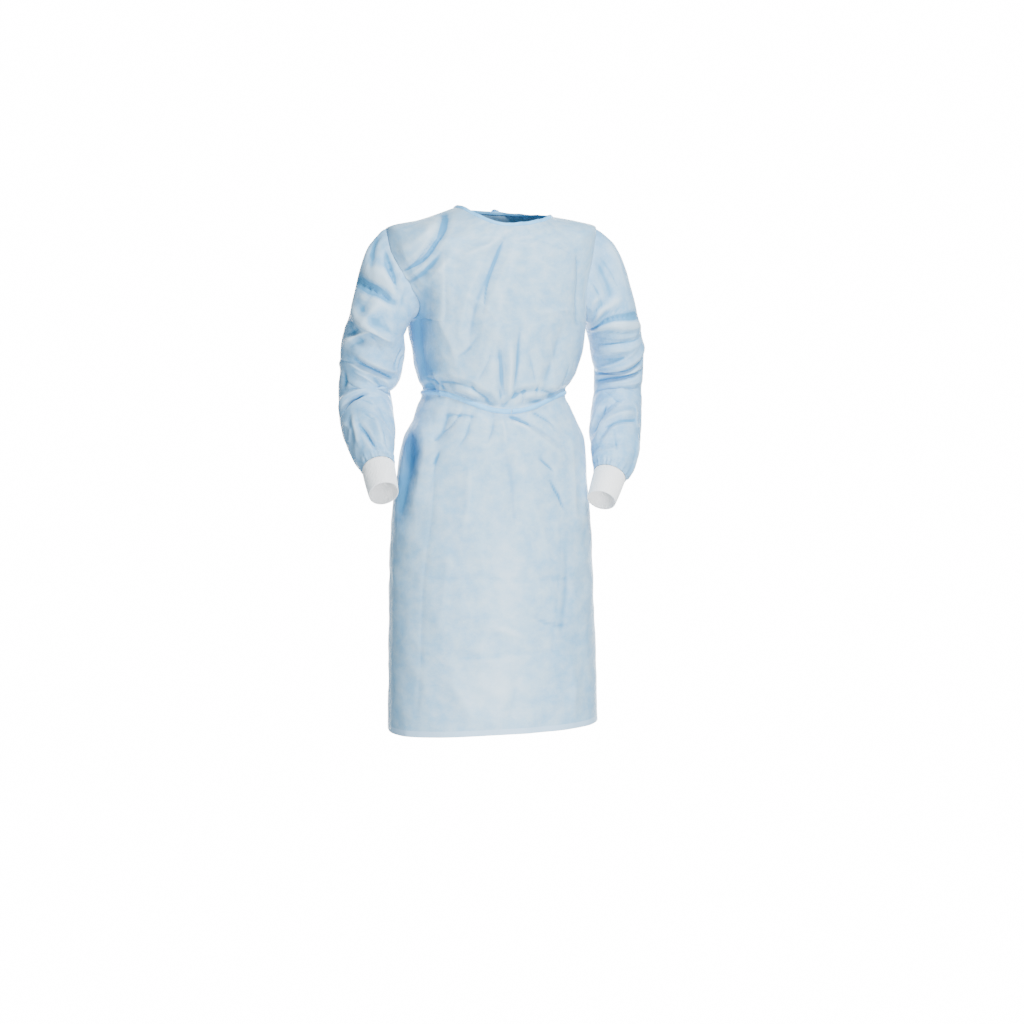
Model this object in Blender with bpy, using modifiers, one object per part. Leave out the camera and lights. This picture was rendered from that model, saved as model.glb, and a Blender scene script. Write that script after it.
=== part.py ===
"""Isolation gown in its worn form: front, two overlapping half backs, set-in sleeves, knit cuffs and ties.

Metres, +Z up. The front faces -Y and the wearer's left is +X. The origin lies on the shoulder line,
midway between the sides of the neck, which is where the gown is held up.
"""

import math

import bpy
import numpy as np
from mathutils import Matrix

MM = 0.001

# Cloth
WALL = 1.5 * MM  # wall of every nonwoven piece
KNIT_WALL = 2.0 * MM  # wall of the rib cuffs
SEAM_GAP = 0.3 * MM  # between two pieces at a seam, and under what lies on a panel

# Back closure
OVERLAP = (0.068, 0.046, 0.040)  # half width of the overlap at hem, waist and neck
LIFT = 4.4 * MM  # how far the outer half back stands off the inner one
LIFT_RUN = 0.060  # width over which it rises to that

# Trims
BINDING_WIDTH = 7.0 * MM
BINDING_EXTRA = 0.5 * MM  # how much thicker than the cloth the binding is on each side
BAND_WALL = 1.5 * MM  # waist tie
STEP_UP = (0.0012, 0.0006, 0.0003)  # extra height of the left band where it climbs onto the outer half back
WAIST_KNOT = (0.020, 0.011, 0.017)  # width, depth and height
NECK_KNOT = (0.015, 0.009, 0.013)
# Free ends below each knot: how far out they start and end, their length, width and stand-off
WAIST_ENDS = ((-0.0055, -0.030, 0.270, 0.009, 0.0012), (0.0055, 0.024, 0.305, 0.009, 0.0012))
NECK_ENDS = ((0.0225, 0.010, 0.150, 0.007, 0.0016), (0.0325, 0.044, 0.125, 0.007, 0.0016))
NECK_KNOT_X = 0.0275
NECK_KNOT_OUT = 0.4 * MM  # further out, because its flat side meets a curved binding

# Grid of the panels: rows run up the cloth and columns run round it
FRONT_COLUMNS = 31
BACK_COLUMNS = 15
ARMHOLE_STEPS = 11
EDGE_SQUEEZE = 2.4  # how closely the columns follow an armhole only near its edge

# Body of the gown, from hem to neckline. run is the way up the cloth. The four z columns are the height
# of that line at the wearer's right side, left side, front and back. The next four are how far the cloth
# stands from the middle on the same sides. power is 2 for an ellipse and more for a squarer section.
# peak is how sharply the line comes to its front and back heights: 1 is a curve, 2 is nearly a V.
BODY_COLUMNS = (
    "run", "z_right", "z_left", "z_front", "z_back", "right", "left", "front", "back", "power", "peak",
)
BODY = (
    (0.000, -1.003, -0.994, -0.992, -0.991, 0.2045, 0.2100, 0.1490, 0.1520, 2.15, 1.0),  # hem
    (0.160, -0.838, -0.838, -0.840, -0.833, 0.2035, 0.2060, 0.1470, 0.1500, 2.15, 1.0),
    (0.280, -0.718, -0.718, -0.721, -0.714, 0.2025, 0.2010, 0.1445, 0.1475, 2.15, 1.0),
    (0.400, -0.600, -0.600, -0.605, -0.596, 0.1975, 0.1965, 0.1410, 0.1440, 2.15, 1.0),  # hip
    (0.500, -0.503, -0.503, -0.510, -0.496, 0.1860, 0.1885, 0.1360, 0.1390, 2.15, 1.0),
    (0.560, -0.445, -0.445, -0.455, -0.436, 0.1745, 0.1845, 0.1310, 0.1325, 2.15, 1.0),
    (0.584, -0.425, -0.425, -0.440, -0.416, 0.1660, 0.1780, 0.1275, 0.1280, 2.15, 1.0),
    (0.608, -0.404, -0.404, -0.425, -0.395, 0.1545, 0.1665, 0.1225, 0.1220, 2.15, 1.2),
    (0.627, -0.382, -0.382, -0.409, -0.372, 0.1475, 0.1560, 0.1165, 0.1140, 2.15, 1.6),
    (0.641, -0.3565, -0.3565, -0.3935, -0.3475, 0.1385, 0.1470, 0.1090, 0.1040, 2.15, 2.2),  # tie, lower edge
    (0.650, -0.3475, -0.3475, -0.3845, -0.3385, 0.1375, 0.1480, 0.1090, 0.1040, 2.15, 2.2),  # tie, upper edge
    (0.668, -0.328, -0.328, -0.363, -0.319, 0.1450, 0.1590, 0.1165, 0.1110, 2.15, 1.7),
    (0.692, -0.306, -0.306, -0.335, -0.297, 0.1500, 0.1690, 0.1205, 0.1150, 2.20, 1.0),
    (0.727, -0.273, -0.273, -0.295, -0.266, 0.1570, 0.1790, 0.1235, 0.1180, 2.20, 1.0),
    (0.790, -0.213, -0.213, -0.225, -0.208, 0.1680, 0.1870, 0.1245, 0.1190, 2.30, 1.0),  # armpit
    (0.840, -0.165, -0.160, -0.178, -0.160, 0.1880, 0.1900, 0.1225, 0.1170, 2.45, 1.0),
    (0.885, -0.120, -0.110, -0.138, -0.117, 0.2085, 0.1965, 0.1180, 0.1110, 2.50, 1.0),
    (0.925, -0.078, -0.066, -0.106, -0.076, 0.2150, 0.2050, 0.1120, 0.1000, 2.40, 1.0),
    (0.960, -0.038, -0.023, -0.080, -0.038, 0.2110, 0.2095, 0.1065, 0.0880, 2.30, 1.0),  # shoulder tip
    (0.985, -0.019, -0.011, -0.058, -0.017, 0.1450, 0.1660, 0.1010, 0.0780, 2.15, 1.0),
    (1.010, 0.006, -0.005, -0.037, 0.004, 0.0780, 0.1225, 0.0945, 0.0680, 2.00, 1.0),  # neckline
)
RUN_TIE = (0.641, 0.650)
RUN_ARMPIT = 0.790
RUN_TIP = 0.960
RUN_NECK = 1.010

# How far, in degrees, each armhole cuts into the panels
ARMHOLE_CUT = {"front_right": 26.0, "front_left": 27.0, "back_right": 21.0, "back_left": 21.0}

# Sleeves, from the upper arm to the wrist: middle of each section, then its half sizes towards the
# outside, the body, the front and the back. lean tips the section: how far its outer edge is ahead.
SLEEVE_COLUMNS = ("x", "y", "z", "outer", "inner", "front", "back", "lean")
SLEEVE_RIGHT = (
    (-0.2270, 0.004, -0.228, 0.0590, 0.0520, 0.065, 0.064, 0.000),
    (-0.2350, 0.014, -0.265, 0.0600, 0.0640, 0.064, 0.063, 0.000),
    (-0.2400, 0.027, -0.308, 0.0570, 0.0640, 0.061, 0.060, 0.000),
    (-0.2480, 0.034, -0.347, 0.0485, 0.0500, 0.057, 0.060, 0.000),  # elbow
    (-0.2485, 0.022, -0.384, 0.0500, 0.0550, 0.055, 0.056, 0.000),
    (-0.2505, -0.014, -0.423, 0.0480, 0.0530, 0.051, 0.050, 0.000),
    (-0.2500, -0.052, -0.457, 0.0420, 0.0440, 0.045, 0.044, 0.000),
    (-0.2480, -0.080, -0.482, 0.0345, 0.0335, 0.037, 0.037, 0.000),
    (-0.2470, -0.094, -0.4945, 0.0310, 0.0310, 0.033, 0.033, 0.000),  # cuff seam
    (-0.2470, -0.138, -0.5390, 0.0275, 0.0275, 0.031, 0.031, 0.000),  # end of the cuff
)
SLEEVE_LEFT = (
    (0.2500, 0.002, -0.222, 0.0550, 0.0500, 0.064, 0.063, 0.000),
    (0.2630, 0.012, -0.265, 0.0545, 0.0520, 0.061, 0.060, 0.000),
    (0.2715, 0.026, -0.306, 0.0510, 0.0470, 0.057, 0.057, 0.000),
    (0.2720, 0.030, -0.346, 0.0490, 0.0460, 0.054, 0.057, 0.000),  # elbow
    (0.2655, 0.016, -0.386, 0.0495, 0.0520, 0.053, 0.054, 0.000),
    (0.2540, -0.012, -0.426, 0.0490, 0.0540, 0.050, 0.050, 0.000),
    (0.2400, -0.042, -0.466, 0.0455, 0.0490, 0.045, 0.044, 0.000),
    (0.2265, -0.064, -0.499, 0.0380, 0.0400, 0.037, 0.037, 0.000),
    (0.2175, -0.073, -0.5130, 0.0325, 0.0325, 0.034, 0.034, 0.000),  # cuff seam
    (0.1898, -0.102, -0.5600, 0.0280, 0.0280, 0.031, 0.031, 0.000),  # end of the cuff
)
RIM_ORDER = np.array([1.0, 0.37, 0.61])  # a direction that puts the points of any rim in one order
CAP_ROWS = 6  # rows from the armhole to the first section
SLEEVE_ROWS = 22  # rows from there to the cuff seam
CUFF_ROWS = 3
# How hard each cap pulls away from the armhole and into the sleeve, as shares of the distance
CAP_PULL = {"right": (0.85, 0.95), "left": (1.10, 1.10)}

# Largest folds of the body. Each runs from (x0, z0) to (x1, z1) as seen from its side, bent sideways by
# bow in its middle. Ridges have a positive height and troughs a negative one.
FOLD_COLUMNS = ("side", "x0", "z0", "x1", "z1", "bow", "width", "height")
BODY_FOLDS = (
    ("front", -0.106, -0.012, -0.190, -0.122, 0.007, 0.011, -0.0045),  # neck to armhole
    ("front", -0.130, -0.030, -0.200, -0.088, 0.008, 0.016, 0.0040),
    ("front", -0.124, -0.085, -0.190, -0.151, 0.004, 0.010, -0.0030),
    ("front", -0.112, -0.100, -0.172, -0.160, 0.004, 0.012, 0.0030),
    ("front", -0.152, -0.130, -0.146, -0.330, -0.012, 0.024, -0.0060),  # under the arm
    ("front", -0.004, -0.064, -0.078, -0.268, -0.014, 0.015, -0.0045),  # from the neckline
    ("front", 0.022, -0.080, -0.030, -0.290, -0.014, 0.024, 0.0035),
    ("front", -0.004, -0.055, -0.090, -0.100, 0.004, 0.011, 0.0030),
    ("front", -0.006, -0.370, -0.022, -0.268, 0.003, 0.009, -0.0035),  # gathers above the tie
    ("front", 0.012, -0.370, 0.020, -0.235, 0.003, 0.009, -0.0030),
    ("front", 0.003, -0.368, 0.000, -0.262, 0.000, 0.010, 0.0030),
    ("front", -0.114, -0.336, -0.034, -0.372, -0.012, 0.009, -0.0045),
    ("front", -0.110, -0.318, -0.036, -0.350, -0.012, 0.014, 0.0045),
    ("front", 0.013, -0.362, 0.116, -0.352, -0.012, 0.009, -0.0045),
    ("front", 0.020, -0.340, 0.118, -0.330, -0.012, 0.014, 0.0045),
    ("front", 0.112, -0.225, 0.070, -0.345, 0.000, 0.014, -0.0030),
    ("front", 0.150, -0.080, 0.148, -0.230, 0.000, 0.013, -0.0030),
    ("front", -0.112, -0.385, -0.142, -0.445, 0.006, 0.010, -0.0040),  # below the tie
    ("front", -0.112, -0.395, -0.058, -0.402, 0.003, 0.009, -0.0030),
    ("front", -0.158, -0.405, -0.180, -0.560, 0.008, 0.015, -0.0060),
    ("front", -0.138, -0.410, -0.160, -0.560, 0.008, 0.014, 0.0040),
    ("front", 0.010, -0.400, 0.104, -0.455, 0.006, 0.010, -0.0045),
    ("front", 0.014, -0.418, 0.116, -0.484, 0.006, 0.013, 0.0035),
    ("front", 0.050, -0.474, 0.090, -0.508, 0.002, 0.010, -0.0030),
    ("front", 0.074, -0.512, 0.112, -0.580, 0.002, 0.012, -0.0030),
    ("front", -0.018, -0.440, 0.008, -0.630, 0.004, 0.018, -0.0045),
    ("back", -0.012, -0.330, -0.030, -0.210, 0.004, 0.010, -0.0035),  # gathers above the knot
    ("back", 0.014, -0.330, 0.038, -0.190, 0.004, 0.011, -0.0035),
    ("back", -0.100, -0.322, -0.030, -0.332, 0.012, 0.011, 0.0040),
    ("back", 0.030, -0.330, 0.112, -0.318, 0.012, 0.011, 0.0040),
    ("back", -0.160, -0.110, -0.090, -0.250, 0.010, 0.014, -0.0045),  # from the armholes
    ("back", 0.160, -0.105, 0.100, -0.235, -0.010, 0.014, -0.0045),
    ("back", -0.135, -0.090, -0.070, -0.200, 0.010, 0.016, 0.0035),
    ("back", -0.030, -0.370, -0.062, -0.600, 0.008, 0.016, -0.0050),  # below the knot
    ("back", 0.026, -0.370, 0.090, -0.560, -0.008, 0.015, -0.0050),
    ("back", 0.120, -0.380, 0.150, -0.700, -0.010, 0.020, 0.0050),
    ("back", -0.118, -0.380, -0.140, -0.660, 0.010, 0.020, 0.0050),
)
# Folds of the sleeves. down is the way along from the armhole in metres, and turn the angle round in
# degrees: 0 outside, 90 in front, 180 towards the body and 270 behind.
SLEEVE_FOLD_COLUMNS = ("down0", "turn0", "down1", "turn1", "width", "height")
SLEEVE_FOLDS_RIGHT = (
    (0.012, 5, 0.034, 36, 0.009, -0.0030),  # cap
    (0.008, 42, 0.026, 92, 0.009, -0.0035),
    (0.020, 18, 0.032, 74, 0.010, 0.0030),
    (0.063, 2, 0.050, 88, 0.009, -0.0055),
    (0.046, 0, 0.034, 92, 0.012, 0.0045),
    (0.086, 8, 0.128, 116, 0.011, 0.0050),
    (0.094, 58, 0.064, 72, 0.010, 0.0030),
    (0.104, -10, 0.134, 50, 0.012, -0.0045),
    (0.154, 34, 0.186, 126, 0.009, -0.0060),  # above the elbow
    (0.136, 40, 0.164, 124, 0.011, 0.0040),
    (0.140, 132, 0.166, 150, 0.009, -0.0045),
    (0.262, 8, 0.262, 78, 0.009, -0.0050),
    (0.244, 4, 0.246, 84, 0.012, 0.0040),
    (0.286, 96, 0.330, 140, 0.010, -0.0035),
    (0.336, 66, 0.402, 90, 0.009, -0.0040),  # forearm
    (0.340, 92, 0.396, 110, 0.011, 0.0035),
    (0.060, 300, 0.084, 220, 0.011, -0.0045),  # behind
    (0.110, 330, 0.140, 238, 0.012, 0.0045),
    (0.190, 320, 0.176, 220, 0.010, -0.0060),
    (0.214, 310, 0.204, 226, 0.012, 0.0045),
    (0.330, 320, 0.352, 240, 0.010, -0.0040),
)
SLEEVE_FOLDS_LEFT = (
    (0.008, 30, 0.048, 78, 0.009, -0.0030),  # cap
    (0.020, 10, 0.056, 58, 0.012, 0.0030),
    (0.068, 158, 0.104, 36, 0.010, 0.0050),
    (0.088, 156, 0.124, 30, 0.009, -0.0045),
    (0.122, 158, 0.138, 28, 0.010, 0.0045),
    (0.142, 158, 0.158, 40, 0.009, -0.0050),
    (0.190, 168, 0.158, 44, 0.011, 0.0045),
    (0.206, 170, 0.176, 20, 0.009, -0.0060),  # elbow
    (0.224, 170, 0.200, 40, 0.012, 0.0035),
    (0.308, 142, 0.356, 182, 0.010, -0.0045),  # forearm
    (0.350, 146, 0.342, 84, 0.010, -0.0035),
    (0.334, 130, 0.324, 80, 0.012, 0.0030),
    (0.402, 166, 0.388, 60, 0.009, -0.0035),
    (0.056, 330, 0.088, 230, 0.011, -0.0045),  # behind
    (0.112, 320, 0.132, 226, 0.012, 0.0045),
    (0.186, 330, 0.204, 222, 0.010, -0.0060),
    (0.210, 326, 0.226, 228, 0.012, 0.0045),
    (0.318, 316, 0.346, 232, 0.010, -0.0040),
)
FOLD_RADIUS = 0.055  # turns a sleeve's angle into a distance

# Colour and roughness of each kind of cloth
FINISHES = {
    "nonwoven": ((0.50, 0.68, 0.82, 1.0), 0.62),
    "trim": ((0.45, 0.68, 0.88, 1.0), 0.60),
    "knit": ((0.90, 0.90, 0.89, 1.0), 0.90),
}


def smooth(knots, values, at):
    """Values between the rows of a table, along a curve that doesn't overshoot them."""
    knots, values, at = (np.asarray(a, dtype=float) for a in (knots, values, at))
    step = np.diff(knots)
    slope = np.diff(values) / step
    tangent = np.empty_like(values)
    tangent[0], tangent[-1] = slope[0], slope[-1]
    before, after = slope[:-1], slope[1:]
    same = before * after > 0
    weight_a, weight_b = 2 * step[1:] + step[:-1], step[1:] + 2 * step[:-1]
    safe_before, safe_after = np.where(same, before, 1.0), np.where(same, after, 1.0)
    mean = (weight_a + weight_b) / (weight_a / safe_before + weight_b / safe_after)
    tangent[1:-1] = np.where(same, mean, 0.0)
    i = np.clip(np.searchsorted(knots, at, side="right") - 1, 0, len(step) - 1)
    t = (at - knots[i]) / step[i]
    return (
        values[i] * (1 + 2 * t) * (1 - t) ** 2
        + values[i + 1] * t**2 * (3 - 2 * t)
        + step[i] * (tangent[i] * t * (1 - t) ** 2 - tangent[i + 1] * t**2 * (1 - t))
    )


def ramp(t):
    """0 up to t = 0, 1 from t = 1, and a soft rise between."""
    t = np.clip(t, 0.0, 1.0)
    return t * t * (3 - 2 * t)


def unit(vectors):
    """The vectors at length 1."""
    return vectors / np.maximum(np.linalg.norm(vectors, axis=-1, keepdims=True), 1e-12)


def body_column(name, run):
    """One column of BODY, at any way up the cloth."""
    rows = np.array(BODY)
    return smooth(rows[:, 0], rows[:, BODY_COLUMNS.index(name)], run)


def body_point(angle, run):
    """A point outside the body of the gown. angle is 0 at the front and turns towards the wearer's left."""
    s, c = np.sin(angle), np.cos(angle)
    share = 2.0 / body_column("power", run)
    half = np.where(s < 0, body_column("right", run), body_column("left", run))
    depth = np.where(c > 0, body_column("front", run), body_column("back", run))
    side_z = np.where(s < 0, body_column("z_right", run), body_column("z_left", run))
    end_z = np.where(c > 0, body_column("z_front", run), body_column("z_back", run))
    x = half * np.sign(s) * np.abs(s) ** share
    y = -depth * np.sign(c) * np.abs(c) ** share
    level = np.abs(c) ** (2 * body_column("peak", run))
    return np.stack([x, y, side_z + (end_z - side_z) * level], axis=-1)


def overlap_at(run):
    """Half width of the back overlap at a way up the cloth."""
    return smooth((0.0, RUN_TIE[0], RUN_NECK), OVERLAP, run)


def edge_angle(name, run):
    """Angle between front (or back) centre and the edge of a panel, in radians: the armhole cuts it in."""
    t = np.clip((run - RUN_ARMPIT) / (RUN_TIP - RUN_ARMPIT), 0.0, 1.0)
    bulge = t**0.45 * (1 - t) ** 0.9
    top = (1 / 3) ** 0.45 * (2 / 3) ** 0.9
    return np.radians(90.0 - ARMHOLE_CUT[name] * bulge / top)


def panel_rows():
    """The ways up the cloth at which the panels have a row of points."""
    skirt = np.concatenate([np.linspace(0.0, 0.50, 10)[:-1], np.linspace(0.50, RUN_TIE[0], 8)])
    bodice = np.linspace(RUN_TIE[1], RUN_ARMPIT, 8)
    armhole = RUN_ARMPIT + (RUN_TIP - RUN_ARMPIT) * (np.arange(ARMHOLE_STEPS + 1) / ARMHOLE_STEPS) ** 1.4
    shoulder = np.linspace(RUN_TIP, RUN_NECK, 4)
    return np.concatenate([skirt, bodice, armhole[1:], shoulder[1:]])


def even_line(start, end, run, count, squeeze):
    """Points along one row, at even distances but squeezed in towards an armhole's edge."""
    angle = np.linspace(start, end, 241)
    points = body_point(angle, np.full_like(angle, run))
    walked = np.concatenate([[0.0], np.cumsum(np.linalg.norm(np.diff(points, axis=0), axis=1))])
    even = np.interp(np.linspace(0, walked[-1], count), walked, angle)
    return body_point(squeeze(even), np.full(count, run))


def past_centre(run, side):
    """Angle at which a half back ends, on the far side of centre back. side is 1 for the left one."""
    half = float(body_column("right" if side > 0 else "left", run))
    share = float(body_column("power", run)) / 2.0
    return math.pi + side * math.asin(min(1.0, (float(overlap_at(run)) / half) ** share))


def front_grid(rows):
    """Outer points of the front, from the wearer's right edge to the left one."""
    quarter = math.pi / 2

    def line(run):
        cut = {-1: quarter - edge_angle("front_right", run), 1: quarter - edge_angle("front_left", run)}

        def squeeze(angle):
            trim = np.where(angle < 0, cut[-1], -cut[1])
            return angle + trim * np.abs(angle / quarter) ** EDGE_SQUEEZE

        return even_line(-quarter, quarter, run, FRONT_COLUMNS, squeeze)

    return np.array([line(run) for run in rows])


def back_grid(rows, side):
    """Outer points of a half back. side is 1 for the left one, which passes under the other."""
    quarter = math.pi / 2
    name = "back_left" if side > 0 else "back_right"

    def line(run):
        cut = quarter - edge_angle(name, run)

        def squeeze(angle):
            from_centre = np.maximum(0.0, (math.pi - angle) * side) / quarter
            return angle + side * cut * from_centre**EDGE_SQUEEZE

        ends = (quarter, past_centre(run, 1)) if side > 0 else (past_centre(run, -1), 3 * quarter)
        return even_line(*ends, run, BACK_COLUMNS, squeeze)

    return np.array([line(run) for run in rows])


def fold_height(x, z, fold):
    """Height of one fold, a row named as in FOLD_COLUMNS, at places seen from its side."""
    x0, z0, x1, z1, bow, width, height = (fold[name] for name in FOLD_COLUMNS[1:])
    t = np.linspace(0.0, 1.0, 17)
    length = math.hypot(x1 - x0, z1 - z0)
    sideways = np.array([-(z1 - z0), x1 - x0]) / length
    path = np.stack([x0 + (x1 - x0) * t, z0 + (z1 - z0) * t], axis=-1)
    path += np.outer(4 * t * (1 - t) * bow, sideways)
    fade = np.sin(math.pi * np.clip(t, 0.02, 0.98)) ** 0.6
    squared = (x[..., None] - path[:, 0]) ** 2 + (z[..., None] - path[:, 1]) ** 2
    nearest = squared.argmin(axis=-1)
    return height * fade[nearest] * np.exp(-squared.min(axis=-1) / width**2)


def with_folds(grid, normals):
    """The panel's points with the folds of the body, which die out at the side and shoulder seams."""
    x, y, z = np.moveaxis(grid, -1, 0)
    total = np.zeros_like(x)
    for row in BODY_FOLDS:
        fold = dict(zip(FOLD_COLUMNS, row))
        towards = -y if fold["side"] == "front" else y
        total += fold_height(x, z, fold) * ramp((towards - 0.006) / 0.030)
    return grid + normals * total[:, :, None]


def with_sleeve_folds(grid, table, turn):
    """The sleeve's points with its own folds, which die out at the armhole and the cuff."""
    step = np.linalg.norm(np.diff(grid.mean(axis=1), axis=0), axis=1)
    down = np.concatenate([[0.0], np.cumsum(step)])
    around = np.degrees(turn_of(grid[0], ARMHOLE_STEPS))
    total = np.zeros(grid.shape[:2])
    for row in table:
        fold = dict(zip(SLEEVE_FOLD_COLUMNS, row), bow=0.0)
        for end in ("0", "1"):
            fold["x" + end] = math.radians(fold["turn" + end]) * FOLD_RADIUS
            fold["z" + end] = fold["down" + end]
        for wrap in (-360.0, 0.0, 360.0):
            x, z = np.meshgrid(np.radians(around + wrap) * FOLD_RADIUS, down)
            total += fold_height(x, z, fold)
    hold = ramp(down / 0.012) * ramp((down[-1] - down) / 0.012)
    normals = unit(grid_normals(grid, True, turn))
    return grid + normals * (total * hold[:, None])[:, :, None]


def lift(points, rows):
    """Moves the outer half back out over the inner one, which ends at the overlap's right edge."""
    edge = -overlap_at(rows)[:, None]
    run = np.minimum(LIFT_RUN, 0.8 * (body_column("right", rows)[:, None] + edge))
    share = ramp((points[:, :, 0] - edge + run) / run)
    away = unit(points * np.array([1.0, 1.0, 0.0]))
    return points + away * (LIFT * share)[:, :, None]


def grid_normals(grid, wrap, turn):
    """Summed face normals at the points of a grid, pointing out of the cloth."""
    right = np.roll(grid, -1, axis=1) if wrap else grid
    a, b = (grid[:-1], right[:-1]) if wrap else (grid[:-1, :-1], grid[:-1, 1:])
    c, d = (right[1:], grid[1:]) if wrap else (grid[1:, 1:], grid[1:, :-1])
    faces = turn * np.cross(c - a, d - b)
    total = np.zeros_like(grid)
    if wrap:
        total[:-1] += faces + np.roll(faces, 1, axis=1)
        total[1:] += faces + np.roll(faces, 1, axis=1)
    else:
        total[:-1, :-1] += faces
        total[:-1, 1:] += faces
        total[1:, :-1] += faces
        total[1:, 1:] += faces
    return total


def shared_normals(grids):
    """Normals of several grids. Points that two of them share get one normal, so their rims fit."""
    totals, sums = {}, {}
    for name, (grid, wrap, turn) in grids.items():
        sums[name] = grid_normals(grid, wrap, turn)
        for point, normal in zip(grid.reshape(-1, 3), unit(sums[name]).reshape(-1, 3)):
            key = tuple(np.round(point, 6))
            totals[key] = totals.get(key, 0.0) + normal
    result = {}
    for name, (grid, _, _) in grids.items():
        flat = np.array([totals[tuple(np.round(p, 6))] for p in grid.reshape(-1, 3)])
        result[name] = unit(flat).reshape(grid.shape)
    return result


def seam_side(points, normals, hint):
    """Across each point of a seam, square to it and to the rim, on the side where hint points."""
    along = np.gradient(points, axis=0)
    across = unit(np.cross(along, normals))
    return across * np.sign(np.sum(across * hint, axis=-1, keepdims=True))


def armhole(front, back, side, low, high):
    """The closed edge that a sleeve is set into: shoulder tip, front, armpit, back."""
    front_edge = front[low : high + 1, 0 if side < 0 else -1]
    back_edge = back[low : high + 1, -1 if side < 0 else 0]
    return np.concatenate([front_edge[::-1], back_edge[1:-1]])


def turn_of(ring, steps):
    """How far round the sleeve each point of the armhole sits, by its distance along the edge."""
    length = np.linalg.norm(np.roll(ring, -1, axis=0) - ring, axis=1)
    front, back = np.cumsum(length[:steps]), np.cumsum(length[steps:])
    first = np.concatenate([[0.0], math.pi * front / front[-1]])
    return np.concatenate([first, math.pi + math.pi * back[:-1] / back[-1]])


def sleeve_section(table, at, around, side):
    """One section of a sleeve or cuff. at counts the table's rows, and may lie between two."""
    knots, rows = np.arange(len(table)), np.array(table)
    value = {name: float(smooth(knots, rows[:, i], at)) for i, name in enumerate(SLEEVE_COLUMNS)}
    centre = np.array([value["x"], value["y"], value["z"]])
    ahead, behind = (
        np.array([float(smooth(knots, rows[:, i], np.clip(at + d, 0, len(table) - 1))) for i in range(3)])
        for d in (0.25, -0.25)
    )
    along = unit(ahead - behind)
    out = unit(np.array([side, 0.0, 0.0]) - along * side * along[0])
    forward = np.cross(along, out) * side
    c, s = np.cos(around)[:, None], np.sin(around)[:, None]
    wide = np.where(c > 0, value["outer"], value["inner"])
    deep = np.where(s > 0, value["front"], value["back"])
    return centre + out * wide * c + forward * deep * s + along * value["lean"] * c, along


def sleeve_grid(ring, table, side):
    """Outer points of a sleeve: a cap that leaves the armhole, then the sections down to the cuff."""
    around = turn_of(ring, ARMHOLE_STEPS)
    first, along = sleeve_section(table, 0.0, around, side)
    leave, enter = CAP_PULL["right" if side < 0 else "left"]
    under = ((1 - np.cos(around)) / 2)[:, None]
    start = unit(np.array([side, 0.0, -0.42]) * (1 - under) + np.array([side, 0.0, -0.55]) * under)
    reach = np.linalg.norm(first - ring, axis=1, keepdims=True)
    rows = []
    for t in np.linspace(0.0, 1.0, CAP_ROWS + 1)[:-1]:
        rows.append(
            ring * (1 + 2 * t) * (1 - t) ** 2
            + first * t**2 * (3 - 2 * t)
            + start * reach * leave * t * (1 - t) ** 2
            - along * reach * enter * t**2 * (1 - t)
        )
    last = len(table) - 2
    for at in np.linspace(0.0, last, SLEEVE_ROWS + 1):
        rows.append(sleeve_section(table, at, around, side)[0])
    return np.array(rows)


def cuff_grid(sleeve, table, side, around):
    """Outer points of a cuff, from the sleeve's last section to its open end."""
    last = len(table) - 2
    rows = [sleeve[-1]]
    for at in np.linspace(last, last + 1.0, CUFF_ROWS + 1)[1:]:
        rows.append(sleeve_section(table, at, around, side)[0])
    return np.array(rows)


def triangles(rows, columns, wrap):
    """Triangles of a grid, all cut along the same diagonal."""
    faces = []
    for r in range(rows - 1):
        for c in range(columns if wrap else columns - 1):
            a, b = r * columns + c, r * columns + (c + 1) % columns
            faces += [(a, b, b + columns), (a, b + columns, a + columns)]
    return faces


def rim(loop, shift, points):
    """Triangles that join an edge of the outer grid to the same edge of the inner one.

    Both sides of a seam cut their rims along the same diagonals, so that these lie side by side.
    """
    faces = []
    for a, b in loop:
        if points[a] @ RIM_ORDER > points[b] @ RIM_ORDER:
            faces += [(b, a, b + shift), (a, a + shift, b + shift)]
        else:
            faces += [(b, a, a + shift), (b, a + shift, b + shift)]
    return faces


def grid_solid(name, outer, inner, wrap, material, collection):
    """A closed wall between two grids of the same size."""
    rows, columns = outer.shape[:2]
    count = rows * columns
    faces = triangles(rows, columns, wrap)
    faces += [(c + count, b + count, a + count) for a, b, c in triangles(rows, columns, wrap)]
    span = range(columns if wrap else columns - 1)
    loop = [(c, (c + 1) % columns) for c in span]
    top = (rows - 1) * columns
    loop += [(top + (c + 1) % columns, top + c) for c in span]
    if not wrap:
        loop += [((r + 1) * columns, r * columns) for r in range(rows - 1)]
        loop += [(r * columns + columns - 1, (r + 1) * columns + columns - 1) for r in range(rows - 1)]
    points = np.concatenate([outer.reshape(-1, 3), inner.reshape(-1, 3)])
    faces += rim(loop, count, points)
    corner = points[np.array(faces)]
    volume = np.einsum("ij,ij->i", corner[:, 0], np.cross(corner[:, 1], corner[:, 2])).sum()
    if volume < 0:
        faces = [face[::-1] for face in faces]
    mesh = bpy.data.meshes.new(name)
    mesh.from_pydata([tuple(p) for p in points], [], faces)
    mesh.validate()
    return add_object(name, mesh, material, collection)


def add_object(name, mesh, material, collection):
    """An object with its own material, shaded smooth away from its edges."""
    made = bpy.data.objects.new(name, mesh)
    mesh.materials.append(material)
    mesh.shade_smooth()
    mesh.set_sharp_from_angle(angle=math.radians(50))
    collection.objects.link(made)
    return made


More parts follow.
